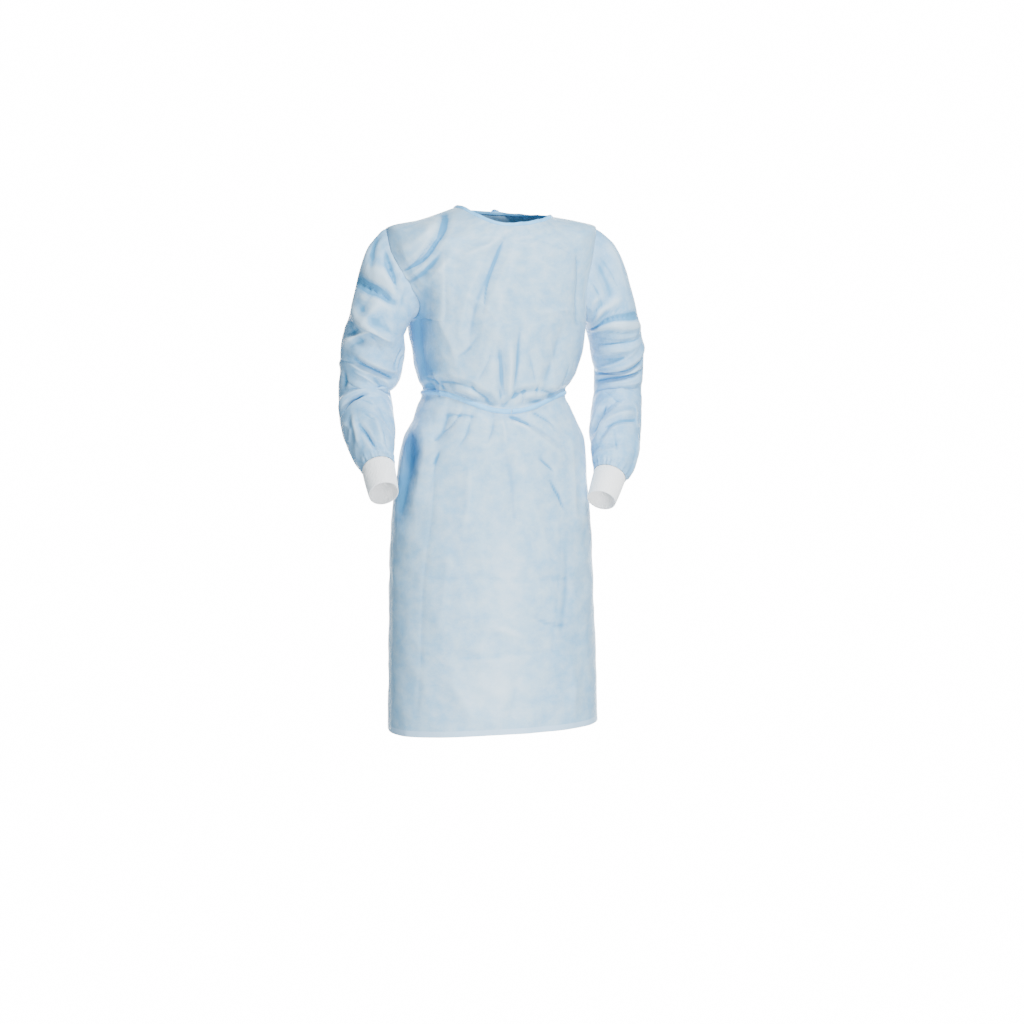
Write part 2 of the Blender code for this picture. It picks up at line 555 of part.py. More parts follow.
def cloth_material(kind, name):
    """The Principled material of one piece. kind is a key of FINISHES."""
    colour, roughness = FINISHES[kind]
    material = bpy.data.materials.new(f"{kind}_{name}")
    material.use_nodes = True
    shader = material.node_tree.nodes["Principled BSDF"]
    shader.inputs["Base Color"].default_value = colour
    shader.inputs["Roughness"].default_value = roughness
    shader.inputs["Metallic"].default_value = 0.0
    return material


def body_walls(grids, normals, low, high):
    """Outer and inner points of the five large panels, with their seams parted."""
    outer = {name: grid.copy() for name, (grid, _, _) in grids.items()}
    inner = {name: grid - normals[name] * WALL for name, (grid, _, _) in grids.items()}

    def part(name, index, shift):
        outer[name][index] += shift
        inner[name][index] += shift

    front = grids["front_panel"][0]
    half = SEAM_GAP / 2
    for side, column in ((-1, 0), (1, -1)):
        back_name = "back_panel_right" if side < 0 else "back_panel_left"
        sleeve_name = "sleeve_right" if side < 0 else "sleeve_left"
        back_column = -1 if side < 0 else 0
        # The side seam and the shoulder seam part front from back.
        for rows in (slice(0, low + 1), slice(high, None)):
            points, rims = front[rows, column], normals["front_panel"][rows, column]
            across = seam_side(points, rims, np.array([0.0, -1.0, 0.0])) * half
            part("front_panel", (rows, column), across)
            part(back_name, (rows, back_column), -across)
        # The armhole seam parts both from the sleeve.
        ring, rims = grids[sleeve_name][0][0], normals[sleeve_name][0]
        closed = np.concatenate([ring[-1:], ring, ring[:1]])
        closed_rims = np.concatenate([rims[-1:], rims, rims[:1]])
        across = seam_side(closed, closed_rims, np.array([float(side), 0.0, -0.2]))[1:-1] * half
        part(sleeve_name, (0,), across)
        part("front_panel", (slice(low, high + 1), column), -across[: ARMHOLE_STEPS + 1][::-1])
        back_across = np.concatenate([across[ARMHOLE_STEPS:], across[:1]])
        part(back_name, (slice(low, high + 1), back_column), -back_across)
    return outer, inner


def build_body(collection):
    """The front, the half backs and the sleeves. Returns what the trims are made from."""
    rows = panel_rows()
    low = int(np.argmin(np.abs(rows - RUN_ARMPIT)))
    high = int(np.argmin(np.abs(rows - RUN_TIP)))
    plain = {"front": front_grid(rows), "right": back_grid(rows, -1), "left": back_grid(rows, 1)}
    out = shared_normals({name: (grid, False, 1) for name, grid in plain.items()})
    front, right, left = (with_folds(grid, out[name]) for name, grid in plain.items())
    right = lift(right, rows)
    sleeve_right = sleeve_grid(armhole(front, right, -1, low, high), SLEEVE_RIGHT, -1)
    sleeve_left = sleeve_grid(armhole(front, left, 1, low, high), SLEEVE_LEFT, 1)
    sleeve_right = with_sleeve_folds(sleeve_right, SLEEVE_FOLDS_RIGHT, -1)
    sleeve_left = with_sleeve_folds(sleeve_left, SLEEVE_FOLDS_LEFT, 1)
    grids = {
        "front_panel": (front, False, 1),
        "back_panel_right": (right, False, 1),
        "back_panel_left": (left, False, 1),
        "sleeve_right": (sleeve_right, True, -1),
        "sleeve_left": (sleeve_left, True, 1),
    }
    normals = shared_normals(grids)
    outer, inner = body_walls(grids, normals, low, high)
    for name, (_, wrap, _) in grids.items():
        grid_solid(name, outer[name], inner[name], wrap, cloth_material("nonwoven", name), collection)
    return rows, {name: grid for name, (grid, _, _) in grids.items()}, normals


def build_cuffs(collection, grids):
    """The two knit cuffs, each 0.3 mm below its sleeve."""
    for side, sleeve_name, table in ((-1, "sleeve_right", SLEEVE_RIGHT), (1, "sleeve_left", SLEEVE_LEFT)):
        sleeve = grids[sleeve_name]
        around = turn_of(sleeve[0], ARMHOLE_STEPS)
        grid = cuff_grid(sleeve, table, side, around)
        normal = unit(grid_normals(grid, True, side))
        ahead = unit(grid[1] - grid[0])
        outer, inner = grid.copy(), grid - normal * KNIT_WALL
        outer[0] += ahead * SEAM_GAP
        inner[0] += ahead * SEAM_GAP
        name = sleeve_name.replace("sleeve", "cuff")
        grid_solid(name, outer, inner, True, cloth_material("knit", name), collection)


def binding_rise(up):
    """Way the binding stands: it leaves the cloth's slope, up, a little and follows the neck."""
    return unit(up * 0.75 + np.array([0.0, 0.0, 0.55]))


def build_binding(collection, grids, normals):
    """The neck binding: a strip that stands on the upper edge of the three panels."""
    order = ("back_panel_right", "front_panel", "back_panel_left")
    edge, rims, up = [], [], []
    for name in order:
        grid = grids[name]
        skip = 1 if edge else 0
        edge += list(grid[-1][skip:])
        rims += list(normals[name][-1][skip:])
        up += list(unit(grid[-1] - grid[-2])[skip:])
    edge, rims, up = np.array(edge), np.array(rims), np.array(up)
    rise = binding_rise(up)
    foot = edge + up * SEAM_GAP
    head = foot + rise * BINDING_WIDTH
    outer = np.array([foot + rims * BINDING_EXTRA, head + rims * BINDING_EXTRA])
    inner = np.array([foot - rims * (WALL + BINDING_EXTRA), head - rims * (WALL + BINDING_EXTRA)])
    grid_solid("neck_binding", outer, inner, False, cloth_material("trim", "neck_binding"), collection)


def tie_row(grids, normals, name, row, columns):
    """Points and normals of a panel along the tie, in the order of columns."""
    return grids[name][row : row + 2, columns], normals[name][row : row + 2, columns]


def stop_at(points, rims, limit):
    """Ends a tie where x reaches limit, on the last stretch that crosses it."""
    x = points[0, :, 0]
    keep = int(np.flatnonzero((x[:-1] - limit) * (x[1:] - limit) <= 0)[-1]) + 1
    cut = []
    for grid in (points, rims):
        ends = []
        for row in range(2):
            line = points[row, :, 0]
            share = (limit - line[keep - 1]) / (line[keep] - line[keep - 1])
            ends.append(grid[row, keep - 1] * (1 - share) + grid[row, keep] * share)
        cut.append(np.concatenate([grid[:, :keep], np.array(ends)[:, None]], axis=1))
    return cut[0], cut[1]


def band_right(row, grids, normals):
    """The band over the front, the right side seam and the outer half back, up to the knot."""
    across_front = np.arange(FRONT_COLUMNS // 2, -1, -1)
    across_back = np.arange(BACK_COLUMNS - 2, -1, -1)
    spans = [
        tie_row(grids, normals, "front_panel", row, across_front),
        tie_row(grids, normals, "back_panel_right", row, across_back),
    ]
    points, rims = (np.concatenate([span[i] for span in spans], axis=1) for i in range(2))
    points, rims = stop_at(points, rims, -SEAM_GAP / 2)
    return points, rims, np.zeros(points.shape[1])


def band_left(row, grids, normals):
    """The band over the front, the left side seam and the inner half back, then up onto the outer one."""
    across_front = np.arange(FRONT_COLUMNS // 2, FRONT_COLUMNS)
    edge = float(grids["back_panel_right"][row, 0, 0])
    inner = grids["back_panel_left"][row, :, 0]
    under = np.arange(1, int(np.count_nonzero(inner > edge + 0.010)))
    spans = [
        tie_row(grids, normals, "front_panel", row, across_front),
        tie_row(grids, normals, "back_panel_left", row, under),
        tie_row(grids, normals, "back_panel_right", row, np.array([0])),
        tie_row(grids, normals, "back_panel_right", row, np.arange(1, BACK_COLUMNS)),
    ]
    points, rims = (np.concatenate([span[i] for span in spans], axis=1) for i in range(2))
    step = len(across_front) + len(under)
    points[:, step, 0] += 0.003
    raised = np.zeros(points.shape[1])
    raised[step - 1 : step + 2] = STEP_UP
    points, rims = stop_at(points, rims, SEAM_GAP / 2)
    return points, rims, raised[: points.shape[1]]


def build_waist_tie(collection, rows, grids, normals):
    """Two bands from front centre round to the knot at the back, on the panels' own points."""
    row = int(np.argmin(np.abs(rows - RUN_TIE[0])))
    for name, make in (("waist_tie_right", band_right), ("waist_tie_left", band_left)):
        points, rims, raised = make(row, grids, normals)
        rims = unit(rims)
        foot = points + rims * (SEAM_GAP + raised)[None, :, None]
        foot[:, 0] += unit(points[:, 1] - points[:, 0]) * SEAM_GAP / 2
        if name == "waist_tie_right":  # in the panels' own order, so that its facets lie on theirs
            foot, rims = foot[:, ::-1], rims[:, ::-1]
        material = cloth_material("trim", name)
        grid_solid(name, foot + rims * BAND_WALL, foot, False, material, collection)


def build_knot(name, centre, out, up, size, collection):
    """A tied knot: a block with well rounded edges. Its depth lies along out and its height along up."""
    out = unit(np.asarray(out, dtype=float))
    across = unit(np.cross(out, up))
    turned = Matrix(np.column_stack([across, out, np.cross(across, out)]).tolist()).to_4x4()
    bpy.ops.mesh.primitive_cube_add(size=1.0)
    knot = bpy.context.active_object
    knot.name = name
    knot.data.name = name
    knot.data.transform(Matrix.Translation(centre) @ turned @ Matrix.Diagonal((*size, 1.0)))
    knot.data.materials.append(cloth_material("trim", name))
    bevel = knot.modifiers.new("rounding", "BEVEL")
    bevel.width = min(size) * 0.30
    bevel.segments = 3
    for holder in list(knot.users_collection):
        holder.objects.unlink(knot)
    collection.objects.link(knot)


def at_x(grid, normals, row, x):
    """A point and normal of the outer half back at one row and one x."""
    line = grid[row, ::-1, 0]
    place = np.interp(x, line, np.arange(len(line))[::-1])
    column = int(np.clip(math.floor(place), 0, len(line) - 2))
    share = place - column
    return tuple(g[row, column] * (1 - share) + g[row, column + 1] * share for g in (grid, normals))


def build_ends(name, ends, top, grids, normals, collection):
    """The two free ends below a knot. They hang down the outer half back, just clear of it."""
    grid, rims = grids["back_panel_right"], normals["back_panel_right"]
    for label, (x0, x1, length, width, off) in zip(("a", "b"), ends):
        outer, inner = [], []
        heights = np.linspace(top, top - length, 12)
        for i, height in enumerate(heights):
            x = x0 + (x1 - x0) * (i / 11) ** 0.8
            line = []
            for place in (x - width / 2, x + width / 2):
                column = [at_x(grid, rims, row, place) for row in range(len(grid))]
                z = np.array([p[2] for p, _ in column])
                spot = np.array([[np.interp(height, z, [p[k] for p, _ in column]) for k in range(3)]])
                away = np.array([[np.interp(height, z, [n[k] for _, n in column]) for k in range(3)]])
                line.append((spot[0], unit(away[0] * np.array([1.0, 1.0, 0.0]))))
            stand = off + 0.004 * math.exp(-i / 1.5)
            inner.append([p + n * stand for p, n in line])
            outer.append([p + n * (stand + BAND_WALL) for p, n in line])
        part = f"{name}_{label}"
        grid_solid(part, np.array(outer), np.array(inner), False, cloth_material("trim", part), collection)


def build_ties(collection, rows, grids, normals):
    """The knots and free ends at the waist and the nape."""
    grid, rims = grids["back_panel_right"], normals["back_panel_right"]
    row = int(np.argmin(np.abs(rows - RUN_TIE[0])))
    low, high = (at_x(grid, rims, row + i, 0.0)[0] for i in range(2))
    spot = (low + high) / 2
    spot[1] += SEAM_GAP + BAND_WALL + SEAM_GAP + WAIST_KNOT[1] / 2
    build_knot("waist_tie_knot", spot, (0, 1, 0), (0, 0, 1), WAIST_KNOT, collection)
    top = spot[2] - WAIST_KNOT[2] / 2 - SEAM_GAP
    build_ends("waist_tie_end", WAIST_ENDS, top, grids, normals, collection)

    edge, out = at_x(grid, rims, len(rows) - 1, NECK_KNOT_X)
    below = at_x(grid, rims, len(rows) - 2, NECK_KNOT_X)[0]
    up = unit(edge - below)
    rise = binding_rise(up)
    stand = BINDING_EXTRA + SEAM_GAP + NECK_KNOT_OUT + NECK_KNOT[1] / 2
    out = unit(np.cross(np.cross(rise, out), rise))
    spot = edge + up * SEAM_GAP + rise * BINDING_WIDTH * 0.62 + out * stand
    build_knot("neck_tie_knot", spot, out, rise, NECK_KNOT, collection)
    top = spot[2] - NECK_KNOT[2] / 2 - SEAM_GAP
    build_ends("neck_tie_end", NECK_ENDS, top, grids, normals, collection)


def main():
    """Clears the scene and builds the gown."""
    for old in list(bpy.data.objects):
        bpy.data.objects.remove(old, do_unlink=True)
    collection = bpy.data.collections.new("isolation_gown")
    bpy.context.scene.collection.children.link(collection)
    rows, grids, normals = build_body(collection)
    build_cuffs(collection, grids)
    build_binding(collection, grids, normals)
    build_waist_tie(collection, rows, grids, normals)
    build_ties(collection, rows, grids, normals)


main()
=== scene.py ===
"""Isolation gown in its worn form, photographed against white.

Thin shells of nonwoven on the form of the solids, with the creases placed one by one, rib knit cuffs,
a bound neck, and ties at the neck and waist. Metres, +Z up, front towards -Y, wearer's left at +X.
"""

import logging
import math
from dataclasses import dataclass, field
from enum import Enum
from typing import Callable, Iterable, Sequence

import bpy
import numpy as np
from mathutils import Matrix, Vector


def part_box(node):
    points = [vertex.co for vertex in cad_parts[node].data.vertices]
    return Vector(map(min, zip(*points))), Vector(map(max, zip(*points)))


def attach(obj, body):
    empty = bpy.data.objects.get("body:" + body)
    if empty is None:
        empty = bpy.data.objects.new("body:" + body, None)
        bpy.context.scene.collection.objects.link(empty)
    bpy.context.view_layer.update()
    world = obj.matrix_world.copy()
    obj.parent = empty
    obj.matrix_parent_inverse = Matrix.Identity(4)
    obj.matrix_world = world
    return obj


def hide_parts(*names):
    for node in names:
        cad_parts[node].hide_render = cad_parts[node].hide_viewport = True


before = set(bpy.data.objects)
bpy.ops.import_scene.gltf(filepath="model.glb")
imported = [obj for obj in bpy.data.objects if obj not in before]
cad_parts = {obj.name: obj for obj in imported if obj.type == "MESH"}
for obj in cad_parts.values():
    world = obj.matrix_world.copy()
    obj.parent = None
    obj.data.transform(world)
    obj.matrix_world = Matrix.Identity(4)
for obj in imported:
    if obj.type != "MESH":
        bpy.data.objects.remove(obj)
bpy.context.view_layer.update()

logging.basicConfig(level=logging.INFO, format="%(message)s")
LOG = logging.getLogger("gown")

MM = 0.001
CLOTH = 0.45 * MM  # thickness of what each piece is made of
KNIT = 1.2 * MM
BAND = 0.9 * MM
KNOT_STRIP = 2.4 * MM
END_STRIP = 1.2 * MM
BINDING, BINDING_WIDTH = 1.7 * MM, 7.2 * MM
SEAM_GAP = 0.3 * MM
QUARTER = math.pi / 2
LEVEL = np.array([1.0, 1.0, 0.0])  # leaves the level part of a vector
SHARP_ANGLE = math.radians(60)  # a steeper edge between faces stays sharp


class Side(Enum):
    """Side of the wearer, as the sign of X."""

    RIGHT = -1
    LEFT = 1


# Form of the gown

# Body of the gown from hem to neckline, in metres. run is the way up the cloth, the z columns are its
# heights at the sides, front and back, and right, left, front and back are its reach to each side.
# power squares the section off, and peak narrows the dip of its level at the front and back.
BODY_COLUMNS = (
    "run", "z_right", "z_left", "z_front", "z_back", "right", "left", "front", "back", "power", "peak",
)
BODY = (
    (0.000, -1.003, -0.994, -0.992, -0.991, 0.2045, 0.2100, 0.1490, 0.1520, 2.15, 1.0),  # hem
    (0.160, -0.838, -0.838, -0.840, -0.833, 0.2035, 0.2060, 0.1470, 0.1500, 2.15, 1.0),
    (0.280, -0.718, -0.718, -0.721, -0.714, 0.2025, 0.2010, 0.1445, 0.1475, 2.15, 1.0),
    (0.400, -0.600, -0.600, -0.605, -0.596, 0.1975, 0.1965, 0.1410, 0.1440, 2.15, 1.0),  # hip
    (0.500, -0.503, -0.503, -0.510, -0.496, 0.1860, 0.1885, 0.1360, 0.1390, 2.15, 1.0),
    (0.560, -0.445, -0.445, -0.455, -0.436, 0.1745, 0.1845, 0.1310, 0.1325, 2.15, 1.0),
    (0.584, -0.425, -0.425, -0.440, -0.416, 0.1660, 0.1780, 0.1275, 0.1280, 2.15, 1.0),
    (0.608, -0.404, -0.404, -0.425, -0.395, 0.1545, 0.1665, 0.1225, 0.1220, 2.15, 1.2),
    (0.627, -0.382, -0.382, -0.409, -0.372, 0.1475, 0.1560, 0.1165, 0.1140, 2.15, 1.6),
    (0.641, -0.3565, -0.3565, -0.3935, -0.3475, 0.1385, 0.1470, 0.1090, 0.1040, 2.15, 2.2),  # tie, lower edge
    (0.650, -0.3475, -0.3475, -0.3845, -0.3385, 0.1375, 0.1480, 0.1090, 0.1040, 2.15, 2.2),  # tie, upper edge
    (0.668, -0.328, -0.328, -0.363, -0.319, 0.1450, 0.1590, 0.1165, 0.1110, 2.15, 1.7),
    (0.692, -0.306, -0.306, -0.335, -0.297, 0.1500, 0.1690, 0.1205, 0.1150, 2.20, 1.0),
    (0.727, -0.273, -0.273, -0.295, -0.266, 0.1570, 0.1790, 0.1235, 0.1180, 2.20, 1.0),
    (0.790, -0.213, -0.213, -0.225, -0.208, 0.1680, 0.1870, 0.1245, 0.1190, 2.30, 1.0),  # armpit
    (0.840, -0.165, -0.160, -0.178, -0.160, 0.1880, 0.1900, 0.1225, 0.1170, 2.45, 1.0),
    (0.885, -0.120, -0.110, -0.138, -0.117, 0.2085, 0.1965, 0.1180, 0.1110, 2.50, 1.0),
    (0.925, -0.078, -0.066, -0.106, -0.076, 0.2150, 0.2050, 0.1120, 0.1000, 2.40, 1.0),
    (0.960, -0.038, -0.023, -0.080, -0.038, 0.2110, 0.2095, 0.1065, 0.0880, 2.30, 1.0),  # shoulder tip
    (0.985, -0.019, -0.011, -0.058, -0.017, 0.1450, 0.1660, 0.1010, 0.0780, 2.15, 1.0),
    (1.010, 0.006, -0.005, -0.037, 0.004, 0.0780, 0.1225, 0.0945, 0.0680, 2.00, 1.0),  # neckline
)
RUN_TIE = (0.641, 0.650)
RUN_ARMPIT = 0.790
RUN_TIP = 0.960
RUN_NECK = 1.010
OVERLAP = (0.068, 0.046, 0.040)  # half width of the back overlap at hem, waist and neck
LIFT = 4.4 * MM  # how far the outer half back lies over the inner one
LIFT_RUN = 0.060
EDGE_SQUEEZE = 2.4  # keeps an armhole's cut near the edge of its panel
CUT_RISE, CUT_FALL = 0.45, 0.9  # shape of that cut, up the armhole
ARMHOLE_CUT = {"front_right": 26.0, "front_left": 27.0, "back_right": 21.0, "back_left": 21.0}

SLEEVE_COLUMNS = ("x", "y", "z", "outer", "inner", "front", "back")
SLEEVE_TABLES = {
    Side.RIGHT: (
        (-0.2270, 0.004, -0.228, 0.0590, 0.0520, 0.065, 0.064),
        (-0.2350, 0.014, -0.265, 0.0600, 0.0640, 0.064, 0.063),
        (-0.2400, 0.027, -0.308, 0.0570, 0.0640, 0.061, 0.060),
        (-0.2480, 0.034, -0.347, 0.0485, 0.0500, 0.057, 0.060),  # elbow
        (-0.2485, 0.022, -0.384, 0.0500, 0.0550, 0.055, 0.056),
        (-0.2505, -0.014, -0.423, 0.0480, 0.0530, 0.051, 0.050),
        (-0.2500, -0.052, -0.457, 0.0420, 0.0440, 0.045, 0.044),
        (-0.2480, -0.080, -0.482, 0.0345, 0.0335, 0.037, 0.037),
        (-0.2470, -0.094, -0.4945, 0.0310, 0.0310, 0.033, 0.033),  # cuff seam
        (-0.2470, -0.138, -0.5390, 0.0275, 0.0275, 0.031, 0.031),  # end of the cuff
    ),
    Side.LEFT: (
        (0.2500, 0.002, -0.222, 0.0550, 0.0500, 0.064, 0.063),
        (0.2630, 0.012, -0.265, 0.0545, 0.0520, 0.061, 0.060),
        (0.2715, 0.026, -0.306, 0.0510, 0.0470, 0.057, 0.057),
        (0.2720, 0.030, -0.346, 0.0490, 0.0460, 0.054, 0.057),  # elbow
        (0.2655, 0.016, -0.386, 0.0495, 0.0520, 0.053, 0.054),
        (0.2540, -0.012, -0.426, 0.0490, 0.0540, 0.050, 0.050),
        (0.2400, -0.042, -0.466, 0.0455, 0.0490, 0.045, 0.044),
        (0.2265, -0.064, -0.499, 0.0380, 0.0400, 0.037, 0.037),
        (0.2175, -0.073, -0.5130, 0.0325, 0.0325, 0.034, 0.034),  # cuff seam
        (0.1898, -0.102, -0.5600, 0.0280, 0.0280, 0.031, 0.031),  # end of the cuff
    ),
}
CAP_PULL = {Side.RIGHT: (0.85, 0.95), Side.LEFT: (1.10, 1.10)}
FOLD_RADIUS = 0.055  # turns a sleeve's angle into a distance
RELIEF = 2.0  # the thin cloth folds deeper than its solid
RIPPLE = 1.3 * MM  # height of the low waves between the folds
WAVE_SIZE = 40 * MM
WAVE_SHADE = 0.3  # how much of those waves shows in the painted fold shade
SEAM_FLAT, SEAM_FADE = 6 * MM, 30 * MM  # folds start this far from a side seam and rise over this length
WAVE_FLAT, WAVE_FADE = 4 * MM, 20 * MM
PINCH = 2.0 * MM  # how far the tie draws the cloth in beside itself
PINCH_OFF, PINCH_WIDTH = 4 * MM, 5 * MM
SINK = 0.5 * MM  # how far a seamed edge sinks in, so that the seam shows as a narrow groove
SINK_ARMHOLE = 0.9 * MM
SINK_CAP = 0.7 * MM

# How finely the shells are divided
FRONT_COLUMNS = 150
BACK_COLUMNS = 84
ARMHOLE_STEPS = 70
CAP_ROWS = 26
SLEEVE_ROWS = 285
CUFF_ROWS = 34
KNOT_STEPS = 90
END_STEPS = 60


class Shape(Enum):
    """Profile of a fold across its line."""

    SOFT = "soft"  # a rounded trough or ridge
    CREASE = "crease"  # a sharp line with flat slopes beside it
    STEP = "step"  # a ledge: high on the left of the line, falling away slowly
    FACET = "facet"  # two flat planes that meet in a sharp line


@dataclass(frozen=True)
class Fold:
    """One trough (negative height) or ridge, from (x0, z0) to (x1, z1) on a face of the cloth.

    bow bends it sideways in its middle. width is how far it reaches to each side, in metres.
    """

    x0: float
    z0: float
    x1: float
    z1: float
    bow: float
    width: float
    height: float
    shape: Shape = Shape.SOFT

    def path(self, steps: int = 25) -> tuple[np.ndarray, np.ndarray]:
        """The bent line of the fold, which wavers a little.

        Args:
            steps: How many points it gets.

        Returns:
            The points, and how far along the line each one is.
        """
        t = np.linspace(0.0, 1.0, steps)
        ahead = np.array([self.x1 - self.x0, self.z1 - self.z0])
        length = math.hypot(*ahead)
        sideways = np.array([-ahead[1], ahead[0]]) / length
        waver = 0.04 * length * np.sin(7 * t + 40 * self.x0)
        bend = t * (1 - t) * (4 * self.bow + waver)
        return np.array([self.x0, self.z0]) + np.outer(t, ahead) + np.outer(bend, sideways), t

    def at(self, x: np.ndarray, z: np.ndarray) -> np.ndarray:
        """Height of the fold at places on the face.

        Args:
            x: Positions across the face, in metres.
            z: Positions up the face, in metres.

        Returns:
            The height at each place, in metres.
        """
        total = np.zeros(x.shape)
        reach = self.width * (4.5 if self.shape is Shape.STEP else 3.2) + abs(self.bow)
        near = (x > min(self.x0, self.x1) - reach) & (x < max(self.x0, self.x1) + reach)
        near &= (z > min(self.z0, self.z1) - reach) & (z < max(self.z0, self.z1) + reach)
        if not near.any():
            return total
        px, pz = x[near], z[near]
        path, t = self.path()
        best = np.full(px.shape, np.inf)
        signed, where = np.zeros(px.shape), np.zeros(px.shape)
        for a, d, begin, span in zip(path, np.diff(path, axis=0), t, np.diff(t)):
            share = np.clip(((px - a[0]) * d[0] + (pz - a[1]) * d[1]) / (d @ d), 0.0, 1.0)
            dx, dz = px - a[0] - share * d[0], pz - a[1] - share * d[1]
            far = np.hypot(dx, dz)
            closer = far < best
            best = np.where(closer, far, best)
            signed = np.where(closer, np.sign(d[0] * dz - d[1] * dx) * far, signed)
            where = np.where(closer, begin + share * span, where)
        fade = np.sin(math.pi * np.clip(where, 0.02, 0.98)) ** 0.35
        total[near] = self.height * fade * self.profile(signed)
        return total

    def profile(self, signed: np.ndarray) -> np.ndarray:
        """Height across the line.

        Args:
            signed: Distance from the line, more than 0 on its left, in metres.

        Returns:
            The height as a share of the fold's own.
        """
        u = np.abs(signed) / self.width
        if self.shape is Shape.SOFT:
            return np.exp(-((u**2 + 0.02) ** 0.72)) * 1.06
        if self.shape is Shape.CREASE:
            return np.exp(-np.sqrt(u**2 + 0.02) * 1.25) * 1.19
        if self.shape is Shape.FACET:
            return np.clip(1.08 - np.sqrt(u**2 + 0.006) / 1.7, 0.0, 1.0)
        fall = np.exp(-((np.maximum(signed, 0) / (3 * self.width)) ** 1.3))
        rise = np.exp(-((np.minimum(signed, 0) / (0.45 * self.width)) ** 2))
        return fall * rise


C, L, F = Shape.CREASE, Shape.STEP, Shape.FACET

# Folds of the panels, in millimetres. The large ones are those of the solids and the others are finer.
FOLD_COLUMNS = ("x0", "z0", "x1", "z1", "bow", "width", "height", "shape")
FRONT_FOLDS = (
    (-104, -10, -192, -124, 13, 7, -3.6, F),  # neck to armhole
    (-130, -30, -200, -88, 8, 16, 4), (-124, -85, -190, -151, 4, 10, -3),
    (-112, -100, -172, -160, 4, 12, 3),
    (-154, -120, -146, -330, -12, 24, -5),  # under the arm
    (-121, -84, -119, -300, -4, 12, 2.2, F),
    (-4, -64, -78, -268, -14, 11, -3.4, F),  # from the neckline
    (22, -80, -30, -290, -14, 24, 3.5), (-4, -55, -90, -100, 4, 11, 3),
    (-6, -370, -22, -268, 3, 9, -3.5),  # gathers above the tie
    (12, -370, 20, -235, 3, 9, -3), (3, -368, 0, -262, 0, 10, 3),
    (-114, -336, -34, -372, -12, 9, -1.4),  # swags over the tie
    (-110, -318, -36, -350, -12, 14, 2.6), (13, -362, 116, -352, -12, 9, -1.4),
    (20, -340, 118, -330, -12, 14, 2.6), (-136, -337, -36, -376, 17, 7, -2.8, F),
    (-108, -349, -45, -374, 10, 8, 1.6), (-8, -380, 98, -357, 19, 7, -2.6, F),
    (18, -364, 80, -362, 8, 8, 1.4), (-130, -339, -37, -375, 17, 4, -0.7, C),
    (-7, -379, 96, -357, 19, 4, -0.7, C), (112, -225, 70, -345, 0, 14, -3),
    (150, -80, 148, -230, 0, 13, -3),
    (-112, -385, -142, -445, 6, 10, -4),  # below the tie
    (-112, -395, -58, -400, 3, 7, -2.2), (-178, -422, -199, -588, 6, 14, -5),
    (-152, -408, -176, -570, 8, 10, 3.6, F), (10, -400, 104, -455, 6, 10, -2),
    (14, -418, 116, -484, 6, 13, 3.5), (50, -474, 90, -508, 2, 10, -1.8),
    (74, -512, 112, -580, 2, 12, -1.8), (-18, -440, 8, -630, 4, 18, -2.4),
    # Finer ones: shoulder and chest
    (-105, -10, -190, -122, 13, 3, -2, C), (-134, -52, -188, -122, 3, 3, -1.1, C),
    (-140, -90, -186, -138, 2, 3, 1, C),
    (-121, -86, -120, -236, 1, 3, -0.9, C),  # packing crease
    (145, -77, 145, -213, 1, 3, -0.9, C),  # packing crease
    (-5, -58, -52, -205, -8, 4, -1.4, C), (30, -90, 102, -128, 4, 5, 0.8), (52, -60, 148, -98, 6, 5, -0.9),
    (-90, -170, -30, -214, 5, 6, 0.9), (40, -160, 118, -206, -4, 6, -0.8), (60, -205, 140, -196, 4, 6, 0.9),
    (-60, -246, -104, -292, 4, 6, -1.2), (-34, -262, -60, -332, 3, 5, -1.2),
    (36, -276, 52, -340, 2, 5, -1.2), (86, -262, 92, -338, 2, 6, 1), (-132, -215, -98, -305, 6, 7, 1.4),
    (-152, -332, -120, -360, 3, 3, -2.6, C), (-143, -326, -112, -352, 2, 3, -1.6, C),
    (-134, -317, -119, -358, 2, 3, 2, C), (128, -300, 112, -342, 2, 4, -1.4, C),
    # Just above and below the tie
    (-72, -338, -44, -366, -4, 4, -1.6), (-22, -344, -12, -376, 0, 4, -1.6),
    (30, -346, 28, -376, 0, 4, -1.5), (60, -336, 54, -362, 0, 4, -1.4), (6, -399, 40, -415, 2, 4, -2.8),
    (4, -410, 42, -428, 3, 5, 2), (52, -392, 94, -420, 4, 4, -1.8), (-30, -400, -46, -448, 3, 5, -1.6),
    (-70, -396, -96, -452, 3, 5, -1.8), (-90, -392, -122, -424, 3, 3, -1.6, C),
    (-14, -404, -12, -452, 2, 5, 1.3),
    # Skirt
    (-130, -461, -143, -489, 1, 4, -1.6, C),
    (-137, -396, -176, -985, 3, 3, -0.6, C),  # packing crease
    (109, -405, 68, -960, 2, 3, -0.3, C),  # packing crease
    (-125, -850, 70, -842, 3, 7, -0.8, L),  # packing crease across
    (-150, -700, 110, -706, 2, 4, -0.7, C), (57, -479, 86, -503, 1, 3, -1, C),
    (77, -515, 108, -576, 2, 3, -0.9, C), (-10, -470, 4, -600, 4, 7, -0.5),
    (-80, -480, -96, -610, 6, 8, 1.2), (130, -440, 140, -600, -4, 9, 1.6), (40, -560, 70, -680, 6, 10, 1.2),
    (-50, -600, -30, -760, -6, 12, -1.2), (-120, -640, -140, -800, 6, 10, 1.1),
    (110, -640, 96, -810, 6, 11, -1.2), (-60, -790, 20, -812, 5, 6, 0.8),
    (30, -770, 110, -796, -5, 6, -0.8), (-140, -870, -80, -960, 8, 12, 1.2),
    (0, -870, -12, -975, 6, 14, -1.2), (120, -868, 126, -975, 4, 14, 1.3),
)
